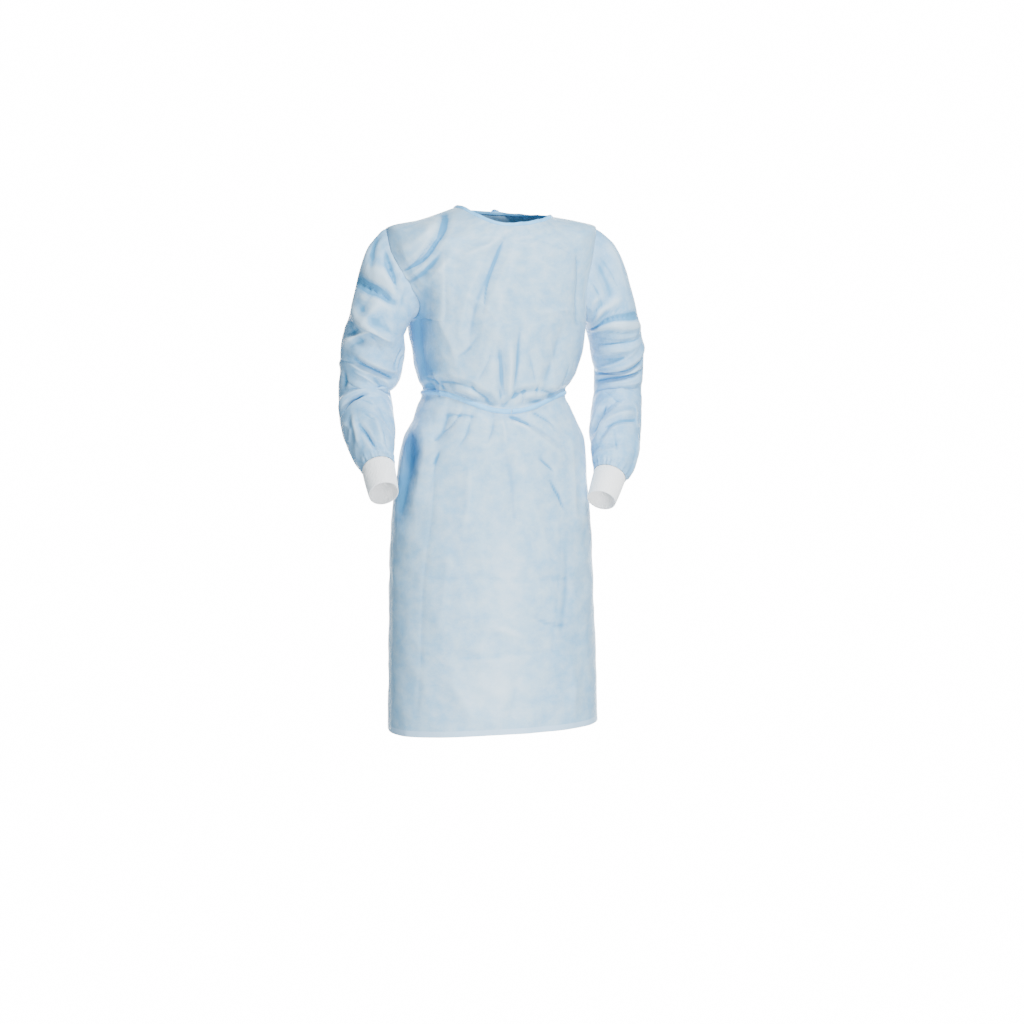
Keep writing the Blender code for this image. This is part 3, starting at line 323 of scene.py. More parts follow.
BACK_FOLDS = (
    (-12, -330, -30, -210, 4, 10, -3.5),  # gathers above the knot
    (14, -330, 38, -190, 4, 11, -3.5), (-100, -322, -30, -332, 12, 11, 4), (30, -330, 112, -318, 12, 11, 4),
    (-160, -110, -90, -250, 10, 14, -4.5),  # from the armholes
    (160, -105, 100, -235, -10, 14, -4.5), (-135, -90, -70, -200, 10, 16, 3.5),
    (-30, -370, -62, -600, 8, 16, -5),  # below the knot
    (26, -370, 90, -560, -8, 15, -5), (120, -380, 150, -700, -10, 20, 5),
    (-118, -380, -140, -660, 10, 20, 5),
    # Finer ones
    (-40, -300, -58, -232, 2, 5, -1.5), (52, -306, 70, -246, 2, 5, -1.5),
    (-84, -300, -98, -250, 2, 6, -1.4), (92, -300, 108, -262, 2, 6, 1.2),
    (-12, -362, -20, -420, 2, 5, -1.8), (48, -362, 70, -430, 2, 5, -1.6),
    (-78, -364, -96, -430, 2, 5, -1.7), (100, -366, 118, -420, 2, 5, 1.4),
    (-130, -60, -134, -260, 1, 3, -0.9, C),  # packing creases
    (120, -70, 122, -280, 1, 3, -0.9, C), (-120, -400, -136, -985, 2, 3, -0.9, C),
    (108, -400, 122, -980, 2, 3, -0.8, C), (-160, -836, 160, -842, 1, 5, -1.4, L),
    (-150, -640, 150, -634, 1, 4, -0.8, C), (-150, -140, -110, -190, 4, 5, 1.2),
    (70, -110, 140, -160, 6, 6, 1), (-90, -470, -104, -620, 6, 10, -1.3), (60, -640, 76, -800, 6, 12, 1.3),
    (-60, -680, -50, -820, -6, 12, 1.2), (-100, -870, -112, -975, 4, 12, -1.3),
    (30, -870, 20, -975, 4, 13, -1.2),
)


# Painted shade on the front, in millimetres: deeper blue under the near arm and where the sides turn from the
# light, and painted highlight where depth is below 0. depth is how deep a fold would look the same.
SHADE_SPOT_COLUMNS = ("x", "z", "reach_x", "reach_z", "depth")
SHADE_SPOTS = (
    (-162, -240, 22, 78, 2.6),  # painted shade under the near arm
    (-138, -318, 18, 32, 1.8),
    (-172, -455, 12, 40, 2.6),  # edge of the hip
    (-188, -525, 12, 55, 2.8),
    (-197, -600, 10, 50, 1.2),
    (-203, -780, 8, 160, 0.3),  # edge of the skirt
    (158, -270, 12, 80, 1.2),
    (-150, -95, 24, 40, 0.6),  # front of the shoulder
    (182, -520, 14, 110, 1),
    (112, -800, 40, 150, 0.8),
    (-105, -660, 30, 60, 0.5),
    (-15, -720, 35, 110, -1.4),  # paler, where the cloth stands out to the light
    (-40, -905, 70, 50, -2),
)

# Folds of the sleeves, down the arm in millimetres and round it in degrees: 0 is outside, 90 in front,
# 180 towards the body and 270 behind.
TURNED_COLUMNS = ("down0", "turn0", "down1", "turn1", "width", "height", "shape")
SLEEVE_FOLDS = {
    Side.RIGHT: (
        (12, 2, 36, 40, 6, -2.2),  # cap
        (2, 36, 24, 94, 5, -2.6), (37, 26, 21, 94, 7, 2.8), (60, 0, 44, 92, 6, -4.2),
        (56, 68, 96, 46, 8, 2.8),  # planes between the cap and the elbow
        (82, 2, 108, 108, 7, 3.6), (102, 0, 124, 60, 8, -3.2), (137, 12, 98, 66, 6, 2.8),
        (122, 140, 158, 126, 5, -3.4), (134, 150, 168, 138, 5, -2.8),
        (142, 50, 168, 128, 8, 2.8),  # above the elbow
        (150, 14, 160, 62, 6, -2.4), (156, 48, 183, 130, 6, -4.4),
        (184, 86, 242, 148, 8, -3.6),  # below the elbow
        (196, 20, 222, 28, 6, -2.2), (214, 60, 236, 110, 8, 2.2), (258, 6, 243, 84, 9, 3.2),
        (284, 14, 262, 78, 6, -4.4),
        (312, 46, 378, 38, 6, 2.4),  # forearm
        (348, 54, 398, 77, 6, -3), (394, 72, 414, 120, 5, -2.4), (300, 104, 352, 138, 8, -2.6),
        (336, 92, 396, 106, 9, 2.6),
        (60, 300, 84, 220, 9, -3.6),  # behind
        (110, 330, 140, 238, 10, 3.4), (190, 320, 176, 220, 8, -4.4), (214, 310, 204, 226, 10, 3.4),
        (330, 320, 352, 240, 8, -3.2),
        # Finer ones
        (61, -4, 44, 94, 2.5, -2.2, C), (83, 4, 109, 104, 2.5, 1.4, C), (136, 14, 99, 63, 2.5, 1.3, C),
        (157, 50, 182, 126, 2.5, -2.4, C), (282, 18, 263, 74, 2.5, -2.2, C), (3, 38, 23, 92, 2.5, -1.6, C),
        (350, 56, 397, 76, 2.5, -1.7, C), (50, 22, 70, 62, 3, -0.6, C), (68, 70, 92, 100, 3, -0.5, C),
        (106, 66, 136, 100, 3, -0.6, C), (172, -10, 162, 40, 3, -1.6, C), (182, 50, 206, 112, 3, 1.2, C),
        (206, 6, 220, 66, 3, -1.2, C), (222, 70, 238, 130, 3, -1.4, C), (276, 60, 300, 96, 3, -1.3, C),
        (296, 8, 346, 30, 4, 1.2, C), (320, 70, 344, 92, 3, -1.3, C), (360, 106, 402, 120, 3, -1.3, C),
        (10, 12, 40, 20, 3, -1, C), (10, 100, 40, 110, 4, -1.2, C), (70, 300, 92, 216, 4, -1.8, C),
        (126, 320, 150, 236, 4, 1.4, C), (196, 316, 184, 222, 4, -2.2, C), (240, 330, 262, 240, 5, -1.4, C),
        (290, 320, 312, 250, 5, 1.2, C), (338, 318, 360, 238, 4, -1.6, C),
    ),
    Side.LEFT: (
        (6, 60, 52, 88, 8, -2),  # cap
        (14, 16, 60, 50, 12, 2.4), (54, 138, 76, 66, 6, -1.6), (40, 140, 62, 74, 6, 1.4),
        (62, 160, 101, 24, 5, -2.6),  # rings at the elbow
        (74, 158, 113, 26, 7, 2.8), (123, 152, 133, 38, 5, -1.8), (140, 154, 142, 44, 8, 2),
        (158, 156, 154, 92, 6, -2.6), (186, 172, 150, 22, 7, 3), (200, 172, 163, 20, 5, -3),
        (217, 172, 194, 44, 5, -3.4), (209, 168, 180, 60, 5, 2), (232, 160, 214, 40, 8, 2.2),
        (360, 166, 300, 130, 8, -3.6),  # forearm
        (328, 138, 284, 100, 8, -2.2), (358, 134, 326, 48, 6, -2.6), (344, 130, 312, 60, 9, 2.4),
        (382, 144, 350, 114, 6, -2.2), (362, 38, 432, 8, 8, 2.6), (402, 166, 388, 60, 7, -2.2),
        (56, 330, 88, 230, 9, -3.4),  # behind
        (112, 320, 132, 226, 10, 3.2), (186, 330, 204, 222, 8, -4.4), (210, 326, 226, 228, 10, 3.4),
        (318, 316, 346, 232, 8, -3.2),
        # Finer ones
        (63, 158, 101, 26, 2.5, -1.6, C), (201, 170, 164, 22, 2.5, -1.6, C),
        (216, 170, 196, 56, 2.5, -2, C), (192, 160, 170, 70, 2.5, -1.2, C),
        (176, 164, 146, 60, 2.5, 1.2, C), (124, 148, 133, 44, 2.5, -1.2, C), (110, 150, 128, 70, 3, -1, C),
        (240, 150, 236, 60, 3, -1.2, C), (262, 140, 300, 96, 4, -1.2, C), (358, 160, 304, 133, 3, -1.8, C),
        (357, 130, 328, 54, 3, -1.4, C), (288, 60, 340, 44, 4, 1.2, C), (370, 110, 410, 96, 4, -1.2, C),
        (12, 50, 50, 66, 3, -1, C), (6, 92, 40, 108, 4, -1.2, C), (16, 122, 34, 98, 3, 1.2, C),
        (30, 130, 50, 96, 3, -1.2, C), (66, 326, 96, 232, 4, -1.8, C), (148, 326, 166, 226, 4, -1.6, C),
        (194, 326, 212, 224, 4, -2.2, C), (262, 320, 290, 240, 5, -1.4, C),
        (326, 314, 354, 234, 4, -1.6, C),
    ),
}


def placed(rows: Iterable[tuple]) -> list[Fold]:
    """The folds of a panel, from rows of FOLD_COLUMNS. A row without a shape is soft."""
    return [Fold(**{name: value if name == "shape" else value * MM for name, value in zip(FOLD_COLUMNS, row)})
            for row in rows]


def turned(rows: Iterable[tuple]) -> list[Fold]:
    """The folds of a sleeve, from rows of TURNED_COLUMNS. A row without a shape is a facet."""
    folds = []
    for row in rows:
        value = dict(zip(TURNED_COLUMNS, row))
        x0, x1 = (math.radians(value[name]) * FOLD_RADIUS for name in ("turn0", "turn1"))
        z0, z1, width, height = (value[name] * MM for name in ("down0", "down1", "width", "height"))
        folds.append(Fold(x0, z0, x1, z1, 0.0, width, height, value.get("shape", F)))
    return folds


@dataclass(frozen=True)
class Cut:
    """Flat size of what shows of one piece of cloth: the box round it and its own area, in metres."""

    width: float
    length: float
    area: float
    held: str = "draped"


# Widths of the knots' strips and of the free ends, in millimetres
TIE_WIDTHS = {
    "waist_tie_knot": 7, "neck_tie_knot": 5.5, "waist_tie_end_a": 9, "waist_tie_end_b": 9,
    "neck_tie_end_a": 7, "neck_tie_end_b": 7,
}


# Arithmetic

def smooth(knots: Sequence[float], values: Sequence[float], at: np.ndarray | float) -> np.ndarray:
    """Values between the rows of a table, along a curve that doesn't overshoot them.

    Args:
        knots: Rising positions of the rows.
        values: Value of each row.
        at: Positions to read.

    Returns:
        The value at each position.
    """
    knots, values, at = (np.asarray(a, dtype=float) for a in (knots, values, at))
    step = np.diff(knots)
    slope = np.diff(values) / step
    tangent = np.empty_like(values)
    tangent[0], tangent[-1] = slope[0], slope[-1]
    before, after = slope[:-1], slope[1:]
    same = before * after > 0
    weight_a, weight_b = 2 * step[1:] + step[:-1], step[1:] + 2 * step[:-1]
    safe_before, safe_after = np.where(same, before, 1.0), np.where(same, after, 1.0)
    mean = (weight_a + weight_b) / (weight_a / safe_before + weight_b / safe_after)
    tangent[1:-1] = np.where(same, mean, 0.0)
    i = np.clip(np.searchsorted(knots, at, side="right") - 1, 0, len(step) - 1)
    t = (at - knots[i]) / step[i]
    return (
        values[i] * (1 + 2 * t) * (1 - t) ** 2
        + values[i + 1] * t**2 * (3 - 2 * t)
        + step[i] * (tangent[i] * t * (1 - t) ** 2 - tangent[i + 1] * t**2 * (1 - t))
    )


def ramp(t: np.ndarray | float) -> np.ndarray:
    """0 up to t = 0, 1 from t = 1, and a soft rise between."""
    t = np.clip(t, 0.0, 1.0)
    return t * t * (3 - 2 * t)


def unit(vectors: np.ndarray) -> np.ndarray:
    """The vectors at length 1."""
    return vectors / np.maximum(np.linalg.norm(vectors, axis=-1, keepdims=True), 1e-12)


def grid_normals(grid: np.ndarray, wrap: bool = False, turn: int = 1) -> np.ndarray:
    """Normals at the points of a grid, at length 1.

    Args:
        grid: Points, as rows by columns by 3.
        wrap: Whether the last column joins the first.
        turn: 1 or -1, so that the normals point out of the cloth.

    Returns:
        One normal per point.
    """
    if wrap:
        grid = np.concatenate([grid, grid[:, :1]], axis=1)
    faces = turn * np.cross(grid[1:, 1:] - grid[:-1, :-1], grid[1:, :-1] - grid[:-1, 1:])
    total = np.zeros_like(grid)
    for corner in (total[:-1, :-1], total[:-1, 1:], total[1:, :-1], total[1:, 1:]):
        corner += faces
    if wrap:
        total[:, 0] += total[:, -1]
        total = total[:, :-1]
    return unit(total)


def ripples(u: np.ndarray, v: np.ndarray, seed: int, waves: int, size: float) -> np.ndarray:
    """Low uneven waves of the cloth between its folds.

    Args:
        u: Positions across, in metres.
        v: Positions up, in metres.
        seed: Chooses the pattern.
        waves: How many crossing waves are summed.
        size: Shortest distance between two crests, in metres.

    Returns:
        Heights between about -1 and 1.
    """
    rng = np.random.default_rng(seed)
    total = np.zeros(u.shape)
    for _ in range(waves):
        angle, phase, bend = rng.uniform(0, math.tau, 3)
        length = size * rng.uniform(1.0, 3.2)
        along = u * math.cos(angle) + v * math.sin(angle)
        aside = -u * math.sin(angle) + v * math.cos(angle)
        wander = 0.9 * np.sin(math.tau * aside / (length * 2.7) + bend)
        total += 1.0 - np.abs(np.sin(math.pi * along / length + phase + wander)) * 1.57
    return total / math.sqrt(waves)


# Meshes

@dataclass
class Patch:
    """A grid of points that becomes the outer side of one piece of cloth.

    wrap joins its last column to the first, turn is -1 where it runs the other way round, and relief
    is how deep the painted shade of the folds is at each point.
    """

    grid: np.ndarray
    wrap: bool = False
    turn: int = 1
    relief: np.ndarray | None = None


def walked(points: np.ndarray) -> np.ndarray:
    """How far along a line of points each one lies."""
    return np.concatenate([[0.0], np.cumsum(np.linalg.norm(np.diff(points, axis=0), axis=1))])


def square_to(vectors: np.ndarray, along: np.ndarray) -> np.ndarray:
    """The part of the vectors that is square to the unit vectors along, at length 1."""
    return unit(vectors - along * np.sum(vectors * along, axis=-1, keepdims=True))


def flat_coordinates(grid: np.ndarray) -> tuple[np.ndarray, np.ndarray]:
    """How far each point lies across and up the cloth, measured along it.

    Args:
        grid: Points, as rows by columns by 3.

    Returns:
        Both distances at each point, in metres.
    """
    across = np.linalg.norm(np.diff(grid, axis=1), axis=2).mean(axis=0)
    up = np.linalg.norm(np.diff(grid, axis=0), axis=2).mean(axis=1)
    return np.meshgrid(np.concatenate([[0.0], np.cumsum(across)]), np.concatenate([[0.0], np.cumsum(up)]))


def grid_faces(rows: int, columns: int, wrap: bool) -> list[tuple[int, int, int, int]]:
    """Quads of a grid of points.

    Args:
        rows: How many rows it has.
        columns: How many columns it has.
        wrap: Whether the last column joins the first.

    Returns:
        The four points of each face.
    """
    faces = []
    for r in range(rows - 1):
        for c in range(columns if wrap else columns - 1):
            d = (c + 1) % columns
            faces.append((r * columns + c, r * columns + d, (r + 1) * columns + d, (r + 1) * columns + c))
    return faces


def shell(name: str, patch: Patch, thickness: float, material: bpy.types.Material) -> bpy.types.Object:
    """A closed thin shell whose outer side is the patch.

    Args:
        name: Name of the piece.
        patch: Its outer side.
        thickness: Wall in metres.
        material: Its finish.

    Returns:
        The new object, linked to the scene.
    """
    outer = patch.grid
    inner = outer - grid_normals(outer, patch.wrap, patch.turn) * thickness
    rows, columns = outer.shape[:2]
    count = rows * columns
    faces = grid_faces(rows, columns, patch.wrap)
    if patch.turn < 0:
        faces = [f[::-1] for f in faces]
    faces += [tuple(i + count for i in reversed(f)) for f in list(faces)]
    span = range(columns if patch.wrap else columns - 1)
    loop = [(c, (c + 1) % columns) for c in span]
    top = (rows - 1) * columns
    loop += [(top + (c + 1) % columns, top + c) for c in span]
    if not patch.wrap:
        loop += [((r + 1) * columns, r * columns) for r in range(rows - 1)]
        loop += [(r * columns + columns - 1, (r + 1) * columns + columns - 1) for r in range(rows - 1)]
    rims = [(b, a, a + count, b + count) for a, b in loop]
    faces += rims if patch.turn > 0 else [f[::-1] for f in rims]
    points = np.concatenate([outer.reshape(-1, 3), inner.reshape(-1, 3)])
    flat = np.stack([np.tile(axis.ravel(), 2) for axis in flat_coordinates(outer)], axis=-1)
    made = mesh_object(name, points, faces, flat, material)
    if patch.relief is not None:
        layer = made.data.attributes.new("relief", "FLOAT", "POINT")
        layer.data.foreach_set("value", np.tile(patch.relief.ravel(), 2))
    return made


def mesh_object(name: str, points: np.ndarray, faces: Iterable[Sequence[int]], flat: np.ndarray | None,
                material: bpy.types.Material) -> bpy.types.Object:
    """Makes a mesh object.

    Args:
        name: Name of the object.
        points: Its points in metres.
        faces: The points of each face.
        flat: Flat coordinates of each point in metres, for its UV map.
        material: Its finish.

    Returns:
        The new object, linked to the scene.
    """
    mesh = bpy.data.meshes.new(name)
    mesh.from_pydata(points.tolist(), [], list(faces))
    if flat is not None:
        layer = mesh.uv_layers.new(name="flat")
        corner = np.empty(len(mesh.loops), dtype=np.int32)
        mesh.loops.foreach_get("vertex_index", corner)
        layer.data.foreach_set("uv", flat[corner].ravel())
    mesh.materials.append(material)
    mesh.shade_smooth()
    mesh.set_sharp_from_angle(angle=SHARP_ANGLE)
    made = bpy.data.objects.new(name, mesh)
    bpy.context.scene.collection.objects.link(made)
    LOG.info("%s: %d faces", name, len(mesh.polygons))
    return made


def sweep(name: str, path: np.ndarray, across: np.ndarray, out: np.ndarray, width: float, depth: float,
          closed: bool, material: bpy.types.Material, sides: int = 14) -> bpy.types.Object:
    """A flat strip with rounded edges along a path.

    Args:
        name: Name of the piece.
        path: Middle of the strip at each step.
        across: Direction of its width at each step.
        out: Direction of its thickness at each step.
        width: Width in metres.
        depth: Thickness in metres.
        closed: Whether the path is a loop.
        material: Its finish.
        sides: Points round the section.

    Returns:
        The new object.
    """
    angle = np.linspace(0, math.tau, sides, endpoint=False)
    wide = np.sign(np.cos(angle)) * np.abs(np.cos(angle)) ** 0.55 * width / 2
    deep = np.sign(np.sin(angle)) * np.abs(np.sin(angle)) ** 0.8 * depth / 2
    rings = path[:, None] + across[:, None] * wide[None, :, None] + out[:, None] * deep[None, :, None]
    steps = len(path)
    faces = []
    for r in range(steps if closed else steps - 1):
        for c in range(sides):
            d, n = (c + 1) % sides, (r + 1) % steps
            faces.append((r * sides + c, r * sides + d, n * sides + d, n * sides + c))
    if not closed:
        faces += [tuple(range(sides))[::-1], tuple(range((steps - 1) * sides, steps * sides))]
    v, u = np.meshgrid(walked(path), wide)
    flat = np.stack([v.T.ravel(), u.T.ravel() + width], axis=-1)
    made = mesh_object(name, rings.reshape(-1, 3), faces, flat, material)
    made.data.validate()
    return made


# Finishes

Socket = bpy.types.NodeSocket
Colour = tuple[float, float, float, float]


def srgb(code: str) -> Colour:
    """A scene colour from an sRGB hex code such as "#A8C8E0"."""
    parts = [int(code[i : i + 2], 16) / 255 for i in (1, 3, 5)]
    linear = [p / 12.92 if p <= 0.04045 else ((p + 0.055) / 1.055) ** 2.4 for p in parts]
    return (*linear, 1.0)


@dataclass
class Graph:
    """The node graph of one material."""

    material: bpy.types.Material

    def feed(self, node: bpy.types.Node, values: dict[str | int, object]) -> None:
        """Gives a node's inputs a value each, or another node's output."""
        for key, value in values.items():
            if isinstance(value, Socket):
                self.material.node_tree.links.new(value, node.inputs[key])
            else:
                node.inputs[key].default_value = value

    def add(self, kind: str, values: dict[str | int, object], **settings: object) -> bpy.types.Node:
        """Adds a node.

        Args:
            kind: Blender's name of the node, without its first word.
            values: A value, or another node's output, for each of its inputs.
            settings: Its properties.

        Returns:
            The new node.
        """
        node = self.material.node_tree.nodes.new("ShaderNode" + kind)
        for key, value in settings.items():
            setattr(node, key, value)
        self.feed(node, values)
        return node

    def flat(self) -> Socket:
        """The flat coordinates, in metres."""
        return self.add("UVMap", {}, uv_map="flat").outputs["UV"]

    def scaled(self, pitch_u: float, pitch_v: float) -> Socket:
        """The flat coordinates, counted in repeats of a pattern of the given size in metres."""
        size = (1 / pitch_u, 1 / pitch_v, 1.0)
        return self.add("Mapping", {"Vector": self.flat(), "Scale": size}).outputs["Vector"]

    def noise(self, size: float, stretch: float, detail: float, roughness: float,
              distortion: float = 0.0, kind: str = "FBM") -> Socket:
        """Noise of a size in metres, stretched along the cloth."""
        return self.add("TexNoise", {
            "Vector": self.scaled(size, size * stretch), "Scale": 1.0, "Detail": detail,
            "Roughness": roughness, "Distortion": distortion}, noise_type=kind).outputs["Fac"]

    def spread(self, value: Socket, low: float, high: float, top: float = 1.0,
               kind: str = "LINEAR") -> Socket:
        """A value spread from 0 at low up to top at high, and held there beyond."""
        return self.add("MapRange", {
            "Value": value, "From Min": low, "From Max": high, "To Max": top},
            clamp=True, interpolation_type=kind).outputs["Result"]

    def mixed(self, share: Socket, below: Socket | Colour, above: Socket | Colour) -> Socket:
        """The colour below at share 0, and the one above at share 1."""
        return self.add("Mix", {0: share, 6: below, 7: above}, data_type="RGBA").outputs[2]


def new_graph(name: str) -> tuple[Graph, bpy.types.Node]:
    """A new material's graph and its Principled shader."""
    material = bpy.data.materials.new(name)
    material.use_nodes = True
    return Graph(material), material.node_tree.nodes["Principled BSDF"]


@dataclass(frozen=True)
class Nonwoven:
    """Three-layer spunbond and meltblown polypropylene: soft satin, cloudy, with fine bond points."""

    name: str
    light: str
    dark: str
    roughness: float = 0.52
    sheen: float = 0.10
    cloud: float = 26 * MM  # size of the cloudy patches
    fibre: float = 1.6 * MM  # size of the fibre mottle
    bond: float = 1.3 * MM  # distance between the bond points
    bond_depth: float = 0.08 * MM
    crumple: float = 34 * MM  # size of the shallow crumples
    crumple_depth: float = 1.6 * MM
    hem: float = 0.0  # width of a stitched hem at the foot of the piece
    hem_colour: str = "#B4D4EF"  # double cloth is denser, so its blue is stronger
    deep: str = ""  # painted shade: colour at the bottom of a fold
    # painted highlight on the ridges of the folds
    ridge_highlight: str = "#D2E6F3"
    flush: float = 0.1 * MM  # folds lower than this keep the colour of the cloth
    fold_depth: float = 2.4 * MM  # folds as deep as this have the whole of the painted shade

    def build(self) -> bpy.types.Material:
        """Makes the material."""
        g, shader = new_graph(self.name)
        mottle = g.add("Math", {
            0: self.fibres(g), 1: 0.45, 2: g.noise(self.cloud, 1.0, 4.0, 0.6)}, operation="MULTIPLY_ADD")
        share = g.spread(mottle.outputs["Value"], 0.56, 0.92)
        colour = g.mixed(share, srgb(self.dark), srgb(self.light))
        # painted shade in the troughs and painted highlight on the ridges
        if self.deep:
            colour = self.paint_fold_shade(g, colour)
        if self.hem:
            up = g.add("SeparateXYZ", {"Vector": g.flat()}).outputs["Y"]
            colour = g.mixed(g.spread(up, self.hem + 0.4 * MM, self.hem), colour, srgb(self.hem_colour))
        bonds = g.add("TexVoronoi", {
            "Vector": g.scaled(self.bond, self.bond), "Scale": 1.0, "Randomness": 0.25}, feature="F1")
        crumples = g.noise(self.crumple, 1.4, 3.0, 0.5, 0.6, "RIDGED_MULTIFRACTAL")
        broad = g.add("Bump", {"Height": crumples, "Strength": 0.5, "Distance": self.crumple_depth})
        fine = g.add("Bump", {
            "Height": bonds.outputs["Distance"], "Strength": 0.25, "Distance": self.bond_depth,
            "Normal": broad.outputs["Normal"]})
        g.feed(shader, {
            "Base Color": colour, "Normal": fine.outputs["Normal"], "Roughness": self.roughness,
            "Sheen Weight": self.sheen, "Sheen Roughness": 0.45, "Specular IOR Level": 0.45})
        return g.material

    def fibres(self, g: Graph) -> Socket:
        """The mottle of the fibres, which lie a little more along the cloth."""
        return g.noise(self.fibre, 1.6, 3.0, 0.7)

    def paint_fold_shade(self, g: Graph, colour: Socket) -> Socket:
        """Paints shade into the troughs of the folds and a highlight onto their ridges.

        Args:
            g: The graph of the material.
            colour: Colour of the flat cloth.

        Returns:
            The new colour.
        """
        # depth of the folds: painted shade where it is above 0, painted highlight where it is below
        relief = g.add("Attribute", {}, attribute_name="relief").outputs["Fac"]
        trough_shade = g.spread(relief, self.flush, self.fold_depth, kind="SMOOTHSTEP")
        ridge_highlighted = g.mixed(g.spread(relief, -self.flush, -self.fold_depth, 0.6), colour, srgb(self.ridge_highlight))
        return g.mixed(trough_shade, ridge_highlighted, srgb(self.deep))


@dataclass(frozen=True)
class RibKnit:
    """White polyester rib knit: fine loops in columns, with a faint painted glow that whitens it."""

    name: str = "rib_knit_white_polyester"
    colour: str = "#FBFBFB"
    course: float = 1.1 * MM  # height of one row of loops
    wale: float = 1.4 * MM  # width of one column of loops
    loop_depth: float = 0.25 * MM
    painted_glow: float = 0.16  # painted light: a glow that keeps the cuffs whiter than the lamps make them

    def build(self) -> bpy.types.Material:
        """Makes the material."""
        g, shader = new_graph(self.name)
        rows = g.add("TexWave", {
            "Vector": g.scaled(self.wale * 6.28, self.course * 6.28), "Scale": 3.14, "Distortion": 1.2,
            "Detail": 1.0}, wave_type="BANDS", bands_direction="Y")
        loops = g.add("Bump", {
            "Height": rows.outputs["Fac"], "Strength": 0.5, "Distance": self.loop_depth})
        # painted light: the knit glows a little, so the cuffs stay white in shade
        g.feed(shader, {
            "Base Color": srgb(self.colour), "Roughness": 0.9, "Emission Color": (1.0, 1.0, 1.0, 1.0),
            "Emission Strength": self.painted_glow, "Sheen Weight": 0.3, "Normal": loops.outputs["Normal"]})
        return g.material


# Pieces

@dataclass
class BodyForm:
    """The worn form of the body of the gown, read from BODY."""

    table: np.ndarray = field(default_factory=lambda: np.array(BODY))

    def column(self, name: str, run: np.ndarray | float) -> np.ndarray:
        """One column of the table, at any way up the cloth."""
        return smooth(self.table[:, 0], self.table[:, BODY_COLUMNS.index(name)], run)

    def point(self, angle: np.ndarray, run: np.ndarray) -> np.ndarray:
        """Points on the outside of the cloth.

        Args:
            angle: Way round, 0 at the front and turning towards the wearer's left.
            run: Way up the cloth of each point.

        Returns:
            The points, in metres.
        """
        s, c = np.sin(angle), np.cos(angle)
        share = 2.0 / self.column("power", run)
        half = np.where(s < 0, self.column("right", run), self.column("left", run))
        depth = np.where(c > 0, self.column("front", run), self.column("back", run))
        side_z = np.where(s < 0, self.column("z_right", run), self.column("z_left", run))
        end_z = np.where(c > 0, self.column("z_front", run), self.column("z_back", run))
        x = half * np.sign(s) * np.abs(s) ** share
        y = -depth * np.sign(c) * np.abs(c) ** share
        level = np.abs(c) ** (2 * self.column("peak", run))
        return np.stack([x, y, side_z + (end_z - side_z) * level], axis=-1)

    def overlap(self, run: np.ndarray | float) -> np.ndarray:
        """Half width of the back overlap."""
        return smooth((0.0, RUN_TIE[0], RUN_NECK), OVERLAP, run)

    def cut(self, name: str, run: float) -> float:
        """How far the armhole cuts into a panel's edge.

        Args:
            name: Name of the edge in ARMHOLE_CUT.
            run: Way up the cloth.

        Returns:
            The angle in radians.
        """
        t = float(np.clip((run - RUN_ARMPIT) / (RUN_TIP - RUN_ARMPIT), 0.0, 1.0))
        top = (1 / 3) ** CUT_RISE * (2 / 3) ** CUT_FALL
        return math.radians(ARMHOLE_CUT[name]) * t**CUT_RISE * (1 - t) ** CUT_FALL / top

    def rows(self) -> np.ndarray:
        """The rows of points of the panels, closer where the cloth curves.

        Returns:
            The way up the cloth of each row.
        """
        skirt = np.concatenate([np.linspace(0.0, 0.5, 86)[:-1], np.linspace(0.5, RUN_TIE[0], 50)])
        tie = np.linspace(RUN_TIE[0], RUN_TIE[1], 5)
        bodice = np.linspace(RUN_TIE[1], RUN_ARMPIT, 44)
        share = np.arange(ARMHOLE_STEPS + 1) / ARMHOLE_STEPS
        armhole = RUN_ARMPIT + (RUN_TIP - RUN_ARMPIT) * share**1.4
        shoulder = np.linspace(RUN_TIP, RUN_NECK, 16)
        return np.concatenate([skirt, tie[1:], bodice[1:], armhole[1:], shoulder[1:]])

    def line(self, start: float, end: float, run: float, count: int,
             squeeze: Callable[[np.ndarray], np.ndarray]) -> np.ndarray:
        """One row of points at even distances, squeezed in towards an armhole's edge.

        Args:
            start: Way round of its first point, in radians.
            end: Way round of its last point.
            run: Way up the cloth.
            count: How many points it has.
            squeeze: Moves the points round, off the armhole.

        Returns:
            The points, in metres.
        """
        angle = np.linspace(start, end, 361)
        points = self.point(angle, np.full_like(angle, run))
        way = walked(points)
        even = np.interp(np.linspace(0, way[-1], count), way, angle)
        return self.point(squeeze(even), np.full(count, run))

    def front_row(self, run: float) -> np.ndarray:
        """One row of the front, from the wearer's right edge to the left one.

        Args:
            run: Way up the cloth.

        Returns:
            The row's points, in metres.
        """
        right, left = self.cut("front_right", run), self.cut("front_left", run)
        return self.line(-QUARTER, QUARTER, run, FRONT_COLUMNS, lambda a: a + np.where(
            a < 0, right, -left) * np.abs(a / QUARTER) ** EDGE_SQUEEZE)

    def back_row(self, run: float, side: Side) -> np.ndarray:
        """One row of a half back, which ends past centre back.

        Args:
            run: Way up the cloth.
            side: Side of the half back.

        Returns:
            The row's points, in metres.
        """
        word, sign = side.name.lower(), side.value
        cut = self.cut("back_" + word, run)
        share = float(self.column("power", run)) / 2.0
        reach = float(self.overlap(run)) / float(self.column("right" if sign > 0 else "left", run))
        past = math.pi + sign * math.asin(min(1.0, reach**share))
        ends = (QUARTER, past) if side is Side.LEFT else (past, 3 * QUARTER)
        return self.line(*ends, run, BACK_COLUMNS, lambda a: a + sign * cut * (
            np.maximum(0.0, (math.pi - a) * sign) / QUARTER) ** EDGE_SQUEEZE)


